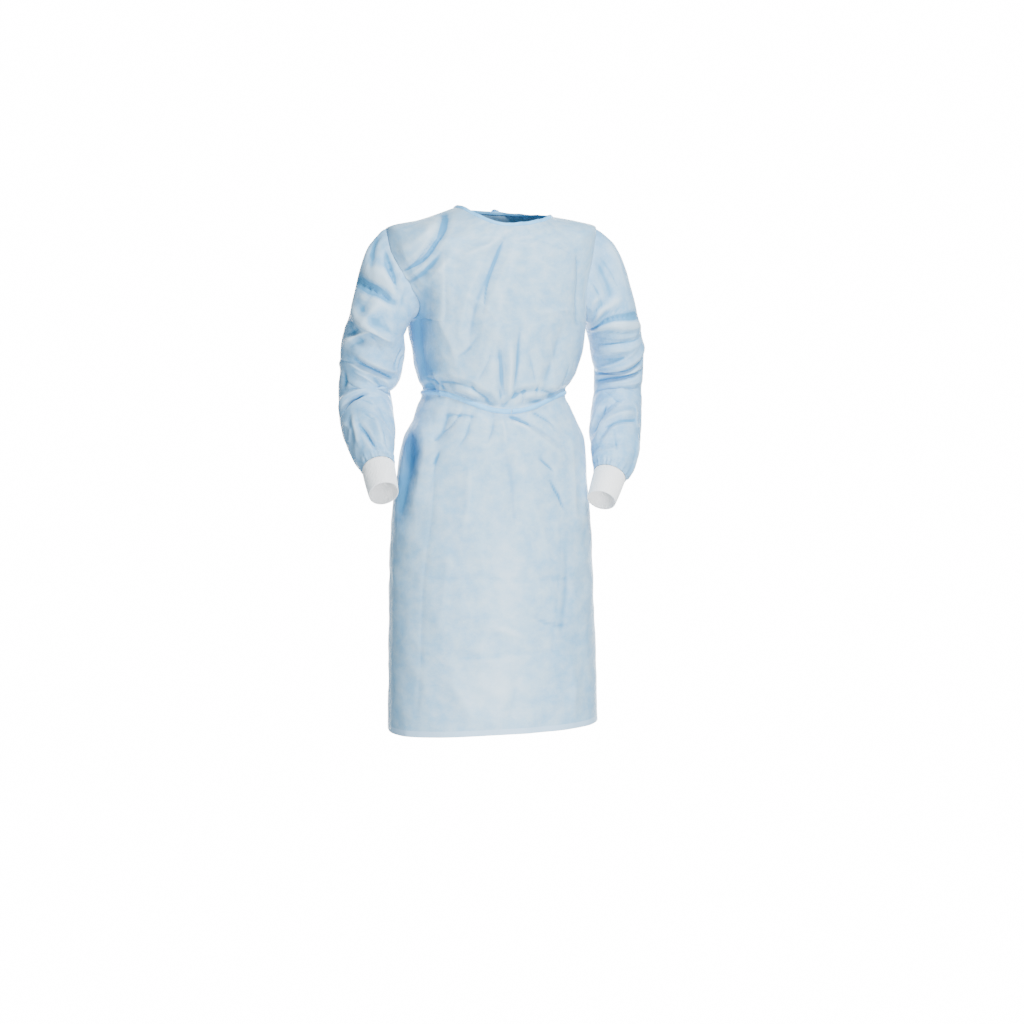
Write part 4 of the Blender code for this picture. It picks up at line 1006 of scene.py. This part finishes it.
def folded(grid: np.ndarray, rows: np.ndarray, folds: Sequence[Fold], front: bool,
           seed: int) -> tuple[np.ndarray, np.ndarray]:
    """A panel with its folds, which die out at the side and shoulder seams.

    Args:
        grid: The panel's points without them.
        rows: The way up the cloth of each row of points.
        folds: The panel's folds.
        front: Whether it's the front.
        seed: Chooses the pattern of the low waves between the folds.

    Returns:
        The points, and how high each one stands.
    """
    x, y, z = np.moveaxis(grid, -1, 0)
    towards = -y if front else y
    total = RELIEF * sum(fold.at(x, z) for fold in folds) * ramp((towards - SEAM_FLAT) / SEAM_FADE)
    below = (rows - RUN_TIE[0] + PINCH_OFF) / PINCH_WIDTH
    above = (rows - RUN_TIE[1] - PINCH_OFF) / PINCH_WIDTH
    total -= PINCH * (np.exp(-(below**2)) + np.exp(-(above**2)))[:, None]
    waves = ripples(*flat_coordinates(grid), seed, 6, WAVE_SIZE)
    waves *= RIPPLE * ramp((towards - WAVE_FLAT) / WAVE_FADE)
    return grid + grid_normals(grid) * (total + waves)[:, :, None], total + WAVE_SHADE * waves


def painted_shade_spots(grid: np.ndarray) -> np.ndarray:
    """How deep a blue the painted shade gives the front: deeper under the near arm and at the turning sides,
    paler where a spot's depth is below 0.

    Args:
        grid: Points of the front.

    Returns:
        The depth of a fold that would look the same, at each point.
    """
    total = np.zeros(grid.shape[:2])
    for row in SHADE_SPOTS:
        spot = {name: value * MM for name, value in zip(SHADE_SPOT_COLUMNS, row)}
        aside = (grid[:, :, 0] - spot["x"]) / spot["reach_x"]
        above = (grid[:, :, 2] - spot["z"]) / spot["reach_z"]
        total += spot["depth"] * np.exp(-(aside**2) - above**2)
    return total


def hollows(heights: np.ndarray, wrap: bool, reach: int) -> np.ndarray:
    """How far each point lies below its surroundings: more than 0 in troughs, less on ridges.

    Args:
        heights: Height of the folds at each point of a grid, in metres.
        wrap: Whether the last column joins the first.
        reach: How many points to each side count as the surroundings.

    Returns:
        The depth at each point, in metres.
    """
    wide = np.pad(heights, ((reach, reach), (0, 0)), mode="edge")
    wide = np.pad(wide, ((0, 0), (reach, reach)), mode="wrap" if wrap else "edge")
    rows, columns = heights.shape
    span = range(2 * reach + 1)
    around = sum(wide[i : i + rows, j : j + columns] for i in span for j in span)
    return around / (2 * reach + 1) ** 2 - heights


def fold_depths(heights: np.ndarray, wrap: bool, near: int, far: int, share: float) -> np.ndarray:
    """How deep the painted fold shade of each point is: its hollow in the near folds, and a share of the far
    ones.
    """
    return hollows(heights, wrap, near) + share * hollows(heights, wrap, far)


def turn_of(ring: np.ndarray, steps: int) -> np.ndarray:
    """How far round the sleeve each point of the armhole sits, by its distance along the edge.

    Args:
        ring: Points of the armhole's edge, from the shoulder tip down the front.
        steps: How many of them lie in front.

    Returns:
        Angles in radians.
    """
    length = np.linalg.norm(np.roll(ring, -1, axis=0) - ring, axis=1)
    front, back = np.cumsum(length[:steps]), np.cumsum(length[steps:])
    first = np.concatenate([[0.0], math.pi * front / front[-1]])
    return np.concatenate([first, math.pi + math.pi * back[:-1] / back[-1]])


@dataclass
class Arm:
    """Form of one sleeve and its cuff, in metres."""

    side: Side
    ring: np.ndarray  # edge of its armhole
    wave_size: float = 32 * MM
    wave_shade: float = 0.4 * MM  # how deep a fold would be to give as much painted shade as the waves give
    hold: float = 12 * MM  # folds rise over this length from both seams
    gather: float = 1.1 * MM  # height of the gathers at the cuff
    ease: float = 0.6 * MM  # height of those at the armhole

    @property
    def table(self) -> np.ndarray:
        """Rows of the arm's sections."""
        return np.array(SLEEVE_TABLES[self.side])

    @property
    def around(self) -> np.ndarray:
        """Angle of each column round the sleeve."""
        return turn_of(self.ring, ARMHOLE_STEPS)

    def read(self, at: float) -> np.ndarray:
        """The values of SLEEVE_COLUMNS at a place on the arm, counted in rows of the table."""
        knots = np.arange(len(self.table))
        return np.array([float(smooth(knots, column, np.clip(at, 0, knots[-1]))) for column in self.table.T])

    def section(self, at: float, around: np.ndarray) -> tuple[np.ndarray, np.ndarray]:
        """One section of the sleeve.

        Args:
            at: Where it is, counted in rows of the table.
            around: Angle of each point round it.

        Returns:
            Its points, and the way that the arm runs there.
        """
        side = self.side.value
        value = dict(zip(SLEEVE_COLUMNS, self.read(at)))
        centre = np.array([value["x"], value["y"], value["z"]])
        along = unit(self.read(at + 0.25)[:3] - self.read(at - 0.25)[:3])
        out = square_to(np.array([side, 0.0, 0.0]), along)
        forward = np.cross(along, out) * side
        c, s = np.cos(around)[:, None], np.sin(around)[:, None]
        wide = np.where(c > 0, value["outer"], value["inner"])
        deep = np.where(s > 0, value["front"], value["back"])
        return centre + out * wide * c + forward * deep * s, along

    def sleeve(self) -> tuple[np.ndarray, np.ndarray]:
        """The sleeve: a cap that leaves the armhole, then the sections down to the cuff.

        Returns:
            The sleeve's points, and how high each one stands.
        """
        around, side, ring = self.around, self.side.value, self.ring
        first, along = self.section(0.0, around)
        leave, enter = CAP_PULL[self.side]
        under = ((1 - np.cos(around)) / 2)[:, None]
        start = unit(np.array([side, 0.0, -0.42]) * (1 - under) + np.array([side, 0.0, -0.55]) * under)
        reach = np.linalg.norm(first - ring, axis=1, keepdims=True)
        rows = []
        for t in np.linspace(0.0, 1.0, CAP_ROWS + 1)[:-1]:
            rows.append(
                ring * (1 + 2 * t) * (1 - t) ** 2
                + first * t**2 * (3 - 2 * t)
                + start * reach * leave * t * (1 - t) ** 2
                - along * reach * enter * t**2 * (1 - t)
            )
        last = len(self.table) - 2
        rows += [self.section(at, around)[0] for at in np.linspace(0.0, last, SLEEVE_ROWS + 1)]
        return self.creased(np.array(rows))

    def creased(self, grid: np.ndarray) -> tuple[np.ndarray, np.ndarray]:
        """The sleeve with its folds, and the small gathers where it's sewn in and sewn to the cuff.

        Args:
            grid: The sleeve's points without them.

        Returns:
            The points, and how high each one stands.
        """
        down = walked(grid.mean(axis=1))
        around = self.around
        total = np.zeros(grid.shape[:2])
        folds = turned(SLEEVE_FOLDS[self.side])
        for wrap in (-math.tau, 0.0, math.tau):
            x, z = np.meshgrid((around + wrap) * FOLD_RADIUS, down)
            total += RELIEF * sum(fold.at(x, z) for fold in folds)
        turn, top = around[None], down[:, None]
        left = top[-1] - top
        waves = ripples(
            np.cos(turn) * 0.05 + top * 0.3, top + np.sin(turn) * 0.05, 11, 6, self.wave_size)
        hold = ramp(top / self.hold) * ramp(left / self.hold)
        relief = hold * (total + self.wave_shade * waves)
        total = hold * (total + RIPPLE * waves)
        gathers = 0.6 * np.sin(19 * turn + 1.5 * np.sin(3 * turn)) + 0.4 * np.sin(31 * turn)
        total += self.gather * gathers * np.exp(-(((left - 6 * MM) / (11 * MM)) ** 2))
        gathers = np.sin(23 * turn + np.cos(2 * turn))
        total += self.ease * gathers * np.exp(-(((top - 8 * MM) / (8 * MM)) ** 2))
        return grid + grid_normals(grid, True, self.side.value) * total[:, :, None], relief


@dataclass
class Cuff:
    """A rib knit cuff, sewn to the end of a sleeve."""

    arm: Arm
    ribs: int = 62
    rib_depth: float = 0.45 * MM
    bulge: float = 0.6 * MM  # how far its middle stands out
    nip: float = 1.0 * MM  # how far the seam draws its top in
    sway: float = 0.5 * MM

    def patch(self) -> Patch:
        """The cuff's outer side, with its ribs.

        Returns:
            The patch for its shell.
        """
        around = np.linspace(0, math.tau, self.ribs * 6, endpoint=False)
        last = len(self.arm.table) - 2
        t = np.linspace(0, 1, CUFF_ROWS + 1)
        grid = np.array([self.arm.section(last + at, around)[0] for at in t])
        side = self.arm.side.value
        normals = grid_normals(grid, True, side)
        grid[0] += unit(grid[1] - grid[0]) * SEAM_GAP
        ribs = self.rib_depth * (np.cos(self.ribs * around) - 1) / 2
        bulge = self.bulge * np.sin(math.pi * t) - self.nip * np.exp(-((t / 0.05) ** 2))
        sway = self.sway * np.sin(3 * around + 2.0) * np.sin(math.pi * t)[:, None]
        return Patch(grid + normals * (ribs + bulge[:, None] + sway)[:, :, None], True, side)


@dataclass
class Gown:
    """The whole gown: builds each piece and lets it stand for its solid."""

    form: BodyForm = field(default_factory=BodyForm)
    # deep is the painted shade at the bottom of the folds of each blue
    cloth: Nonwoven = Nonwoven("nonwoven_sms_polypropylene_blue", "#A3C9E6", "#76B1DB", deep="#5499C6")
    hemmed: Nonwoven = Nonwoven(
        "nonwoven_sms_polypropylene_blue_hemmed", "#B3D1E6", "#88BBDE", deep="#4A92C2", hem=11 * MM)
    strip: Nonwoven = Nonwoven("nonwoven_folded_strip_blue", "#86CEFC", "#6FBDF4", crumple_depth=0.3 * MM)
    knitted: RibKnit = RibKnit()
    grids: dict[str, np.ndarray] = field(default_factory=dict)
    rings: dict[Side, np.ndarray] = field(default_factory=dict)

    def __post_init__(self) -> None:
        """Makes the materials and finds the rows that bound the armholes."""
        self.rows = self.form.rows()
        self.low, self.high = self.nearest_row(RUN_ARMPIT), self.nearest_row(RUN_TIP)
        self.cloth_blue, self.hem_blue = self.cloth.build(), self.hemmed.build()
        self.trim, self.knit = self.strip.build(), self.knitted.build()

    def nearest_row(self, run: float) -> int:
        """The row of points nearest to a way up the cloth."""
        return int(np.argmin(np.abs(self.rows - run)))

    def panels(self) -> None:
        """Builds the front and the two half backs."""
        front = np.array([self.form.front_row(run) for run in self.rows])
        front, relief = folded(front, self.rows, placed(FRONT_FOLDS), True, 3)
        self.grids, reliefs = {"front_panel": front}, {"front_panel": relief}
        for side, seed in ((Side.RIGHT, 5), (Side.LEFT, 7)):
            name = f"back_panel_{side.name.lower()}"
            back = np.array([self.form.back_row(run, side) for run in self.rows])
            back, reliefs[name] = folded(back, self.rows, placed(BACK_FOLDS), False, seed)
            self.grids[name] = self.lifted(back) if side is Side.RIGHT else back
            self.rings[side] = self.armhole(front, self.grids[name], side)
        sink = np.full((len(self.rows), 1), SINK)
        sink[self.low : self.high + 1] = SINK_ARMHOLE
        seams = {"front_panel": (0, -1), "back_panel_right": (-1,), "back_panel_left": (0,)}
        for name, grid in self.grids.items():
            shown, normals = grid.copy(), grid_normals(grid)
            for column in seams[name]:
                shown[:, column] -= normals[:, column] * sink
            # painted shade in the troughs and painted highlight on the ridges of the folds
            depth = fold_depths(reliefs[name], wrap=False, near=2, far=7, share=0.16)
            if name == "front_panel":
                # painted shade under the arm and at the sides, painted highlight on the skirt
                depth += painted_shade_spots(grid)
            made = shell(name + "_cloth", Patch(shown, relief=depth), CLOTH, self.hem_blue)
            self.settle(made, name)

    def lifted(self, grid: np.ndarray) -> np.ndarray:
        """The outer half back, moved out over the inner one.

        Args:
            grid: Its points.

        Returns:
            The moved points.
        """
        edge = -self.form.overlap(self.rows)[:, None]
        run = np.minimum(LIFT_RUN, 0.8 * (self.form.column("right", self.rows)[:, None] + edge))
        share = ramp((grid[:, :, 0] - edge + run) / run)
        away = unit(grid * LEVEL)
        return grid + away * (LIFT * share)[:, :, None]

    def armhole(self, front: np.ndarray, back: np.ndarray, side: Side) -> np.ndarray:
        """The closed edge that a sleeve is set into: shoulder tip, front, armpit, back.

        Args:
            front: Points of the front.
            back: Points of the half back.
            side: Side of the sleeve.

        Returns:
            The points of the edge.
        """
        right = side is Side.RIGHT
        front_edge = front[self.low : self.high + 1, 0 if right else -1]
        back_edge = back[self.low : self.high + 1, -1 if right else 0]
        return np.concatenate([front_edge[::-1], back_edge[1:-1]])

    def arms(self) -> None:
        """Builds the sleeves and cuffs."""
        for side in (Side.RIGHT, Side.LEFT):
            word, arm = side.name.lower(), Arm(side, self.rings[side])
            grid, relief = arm.sleeve()
            grid[0] -= grid_normals(grid, True, side.value)[0] * SINK_CAP
            # painted shade in the troughs and painted highlight on the ridges of the sleeve's folds
            depth = fold_depths(relief, wrap=True, near=3, far=8, share=0.2)
            patch = Patch(grid, True, side.value, depth)
            made = shell(f"sleeve_{word}_cloth", patch, CLOTH, self.cloth_blue)
            self.settle(made, f"sleeve_{word}")
            cuff = shell(f"cuff_{word}_knit", Cuff(arm).patch(), KNIT, self.knit)
            self.settle(cuff, f"cuff_{word}")

    def binding(self) -> None:
        """Builds the strip that binds the neckline."""
        starts = {"back_panel_right": 0, "front_panel": 1, "back_panel_left": 1}
        parts = []
        for name, first in starts.items():
            grid = self.grids[name][:, first:]
            normals = grid_normals(self.grids[name])[-1, first:]
            parts.append((grid[-1], normals, unit(grid[-1] - grid[-3])))
        edge, rims, up = (np.concatenate(rows) for rows in zip(*parts))
        rise = unit(up * 0.75 + np.array([0.0, 0.0, 0.55]))
        out = square_to(rims, rise)
        middle = edge + up * SEAM_GAP + rise * 3.5 * MM - rims * 0.5 * MM
        made = sweep("neck_binding_strip", middle, rise, out, BINDING_WIDTH, BINDING, False, self.trim)
        self.settle(made, "neck_binding")

    def band(self, name: str, spans: Sequence[tuple[str, int, int]]) -> None:
        """A band of the waist tie, bulged a little across its width.

        Args:
            name: The solid's name.
            spans: The panels that it crosses, each with the first column that it covers and the next
                one that it doesn't.
        """
        rows = slice(self.nearest_row(RUN_TIE[0]), self.nearest_row(RUN_TIE[1]) + 1)
        parts = []
        for panel, first, end in spans:
            grid = self.grids[panel]
            parts.append((grid[rows, first:end], grid_normals(grid)[rows, first:end]))
        points, rims = (np.concatenate(part, axis=1) for part in zip(*parts))
        t = np.linspace(-1, 1, len(points))
        rise = SEAM_GAP + 1.7 * MM * (1 - np.abs(t) ** 3) + 0.2 * MM
        made = shell(name + "_band", Patch(points + unit(rims) * rise[:, None, None]), BAND, self.trim)
        self.settle(made, name)

    def waist(self) -> None:
        """Builds the two bands of the waist tie, which meet behind the knot and at centre front."""
        outer, inner = (self.grids[f"back_panel_{word}"][self.nearest_row(RUN_TIE[0]), :, 0]
                        for word in ("right", "left"))
        stop, middle = int(np.argmin(np.abs(outer))), FRONT_COLUMNS // 2
        under = int(np.count_nonzero(inner > outer[0] + 0.006))
        self.band("waist_tie_right", (
            ("back_panel_right", stop, BACK_COLUMNS - 1), ("front_panel", 0, middle + 1)))
        self.band("waist_tie_left", (
            ("front_panel", middle + 1, FRONT_COLUMNS), ("back_panel_left", 1, under),
            ("back_panel_right", 0, stop)))

    def knot(self, node: str, width: float) -> None:
        """A tied knot in the place of its solid: one strip led through itself.

        Args:
            node: The solid's name.
            width: Width of the strip, in metres.
        """
        low, high = (np.array(side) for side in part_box(node))
        t = np.linspace(0, math.tau, KNOT_STEPS, endpoint=False)
        curve = np.stack([
            np.sin(t) + 2 * np.sin(2 * t), -1.6 * np.sin(3 * t), np.cos(t) - 2 * np.cos(2 * t)], axis=-1)
        room = np.maximum(high - low - np.array([width, KNOT_STRIP, width]) * 0.9, 2 * MM) / 2
        path = (low + high) / 2 + curve / np.abs(curve).max(axis=0) * room
        along = unit(np.roll(path, -1, axis=0) - np.roll(path, 1, axis=0))
        out = square_to(np.array([0.0, 1.0, 0.0]), along)
        made = sweep(node + "_strip", path, np.cross(along, out), out, width, KNOT_STRIP, True, self.trim)
        self.settle(made, node)

    def free_end(self, node: str, width: float) -> None:
        """A free end that hangs below a knot, in the place of its solid.

        Args:
            node: The solid's name.
            width: Width of the strip, in metres.
        """
        solid = bpy.data.objects[node]
        points = np.array([tuple(solid.matrix_world @ v.co) for v in solid.data.vertices])
        heights = np.unique(np.round(points[:, 2], 4))[::-1]
        middle = np.array([points[np.abs(points[:, 2] - h) < 1.5 * MM].mean(axis=0) for h in heights])
        share = np.linspace(0, 1, END_STEPS)
        steps = np.arange(len(middle))
        path = np.stack([np.interp(share * steps[-1], steps, column) for column in middle.T], axis=-1)
        path[:, 0] += 1.5 * MM * np.sin(share * 9) * share
        along = unit(np.gradient(path, axis=0))
        out = square_to(unit(path * LEVEL), along)
        twist = 0.35 * np.sin(share * 5.0)[:, None] * share[:, None]
        out = unit(out + np.cross(along, out) * twist)
        made = sweep(node + "_strip", path, np.cross(along, out), out, width, END_STRIP, False, self.trim)
        self.settle(made, node)

    def settle(self, made: bpy.types.Object, node: str) -> None:
        """Lets a piece stand for its solid and ride the body.

        Args:
            made: The new piece.
            node: The solid's name.
        """
        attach(made, "root")
        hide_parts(node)

    def build(self) -> None:
        """Builds the whole gown."""
        self.panels()
        self.arms()
        self.binding()
        self.waist()
        for node, width in TIE_WIDTHS.items():
            make = self.knot if node.endswith("knot") else self.free_end
            make(node, width * MM)


@dataclass(frozen=True)
class Lamp:
    """A square soft box, aimed at a height on the middle of the gown. Metres and watts."""

    name: str
    place: tuple[float, float, float]
    size: float
    watts: float
    aim: float

    def build(self) -> None:
        """Adds the light."""
        data = bpy.data.lights.new(self.name, "AREA")
        data.size, data.energy = self.size, self.watts
        lamp = bpy.data.objects.new(self.name, data)
        x, y, z = np.array(self.place) - np.array([0.0, 0.0, self.aim])
        lamp.location = self.place
        lamp.rotation_euler = (math.atan2(math.hypot(x, y), z), 0, math.atan2(x, -y))
        bpy.context.scene.collection.objects.link(lamp)


LAMPS = (
    Lamp("key", (0.40, -1.8, 1.8), 0.40, 136.0, -0.30),
    Lamp("low", (0.2, -2.7, -1.2), 0.9, 125.0, -0.95),
    Lamp("fill", (-2.2, -1.6, -1.5), 1.0, 34.0, -0.90),
    Lamp("back", (0.6, 2.6, 1.4), 1.8, 40.0, -0.45),
)


@dataclass
class Studio:
    """Camera, white backdrop and soft lights, as in the photo."""

    yaw: float = -17.0
    place: tuple[float, float, float] = (-0.8984, -3.0716, -0.39)
    focal: float = 1638.0  # in pixels
    horizon: float = 412.0
    pixels: int = 1024
    sensor: float = 36.0

    def build(self) -> None:
        """Sets up camera, world, backdrop and lights."""
        data = bpy.data.cameras.new("camera")
        data.sensor_width = self.sensor
        data.lens = self.focal / self.pixels * self.sensor
        data.shift_y = self.horizon / self.pixels - 0.5
        camera = bpy.data.objects.new("camera", data)
        camera.location = self.place
        camera.rotation_euler = (math.radians(90), 0, math.radians(self.yaw))
        bpy.context.scene.collection.objects.link(camera)
        bpy.context.scene.camera = camera
        self.world((0.48, 0.80, 1.0), 0.42)
        self.backdrop(16.0)
        for lamp in LAMPS:
            lamp.build()

    def world(self, tint: tuple[float, float, float], strength: float) -> None:
        """An even room, a little cool.

        Args:
            tint: Its colour.
            strength: Its brightness.
        """
        world = bpy.data.worlds.new("room")
        world.use_nodes = True
        shade = world.node_tree.nodes["Background"]
        shade.inputs["Color"].default_value = (*tint, 1.0)
        shade.inputs["Strength"].default_value = strength
        bpy.context.scene.world = world

    def backdrop(self, strength: float) -> None:
        """A white lit wall behind the gown, just larger than the picture.

        Args:
            strength: Its brightness.
        """
        points = np.array([(-2.8, 0, -3.6), (2.8, 0, -3.6), (2.8, 0, 2.0), (-2.8, 0, 2.0)], dtype=float)
        g, shader = new_graph("backdrop_white")
        shader.inputs["Base Color"].default_value = (0, 0, 0, 1)
        shader.inputs["Emission Color"].default_value = (1, 1, 1, 1)
        shader.inputs["Emission Strength"].default_value = strength
        wall = mesh_object("backdrop", points, [(0, 1, 2, 3)], None, g.material)
        turn = Matrix.Rotation(math.radians(self.yaw), 4, "Z")
        wall.matrix_world = Matrix.Translation((1.46, 4.78, 0)) @ turn


def main() -> None:
    """Builds the gown and its studio."""
    Gown().build()
    Studio().build()


if __name__ == "__main__":
    main()
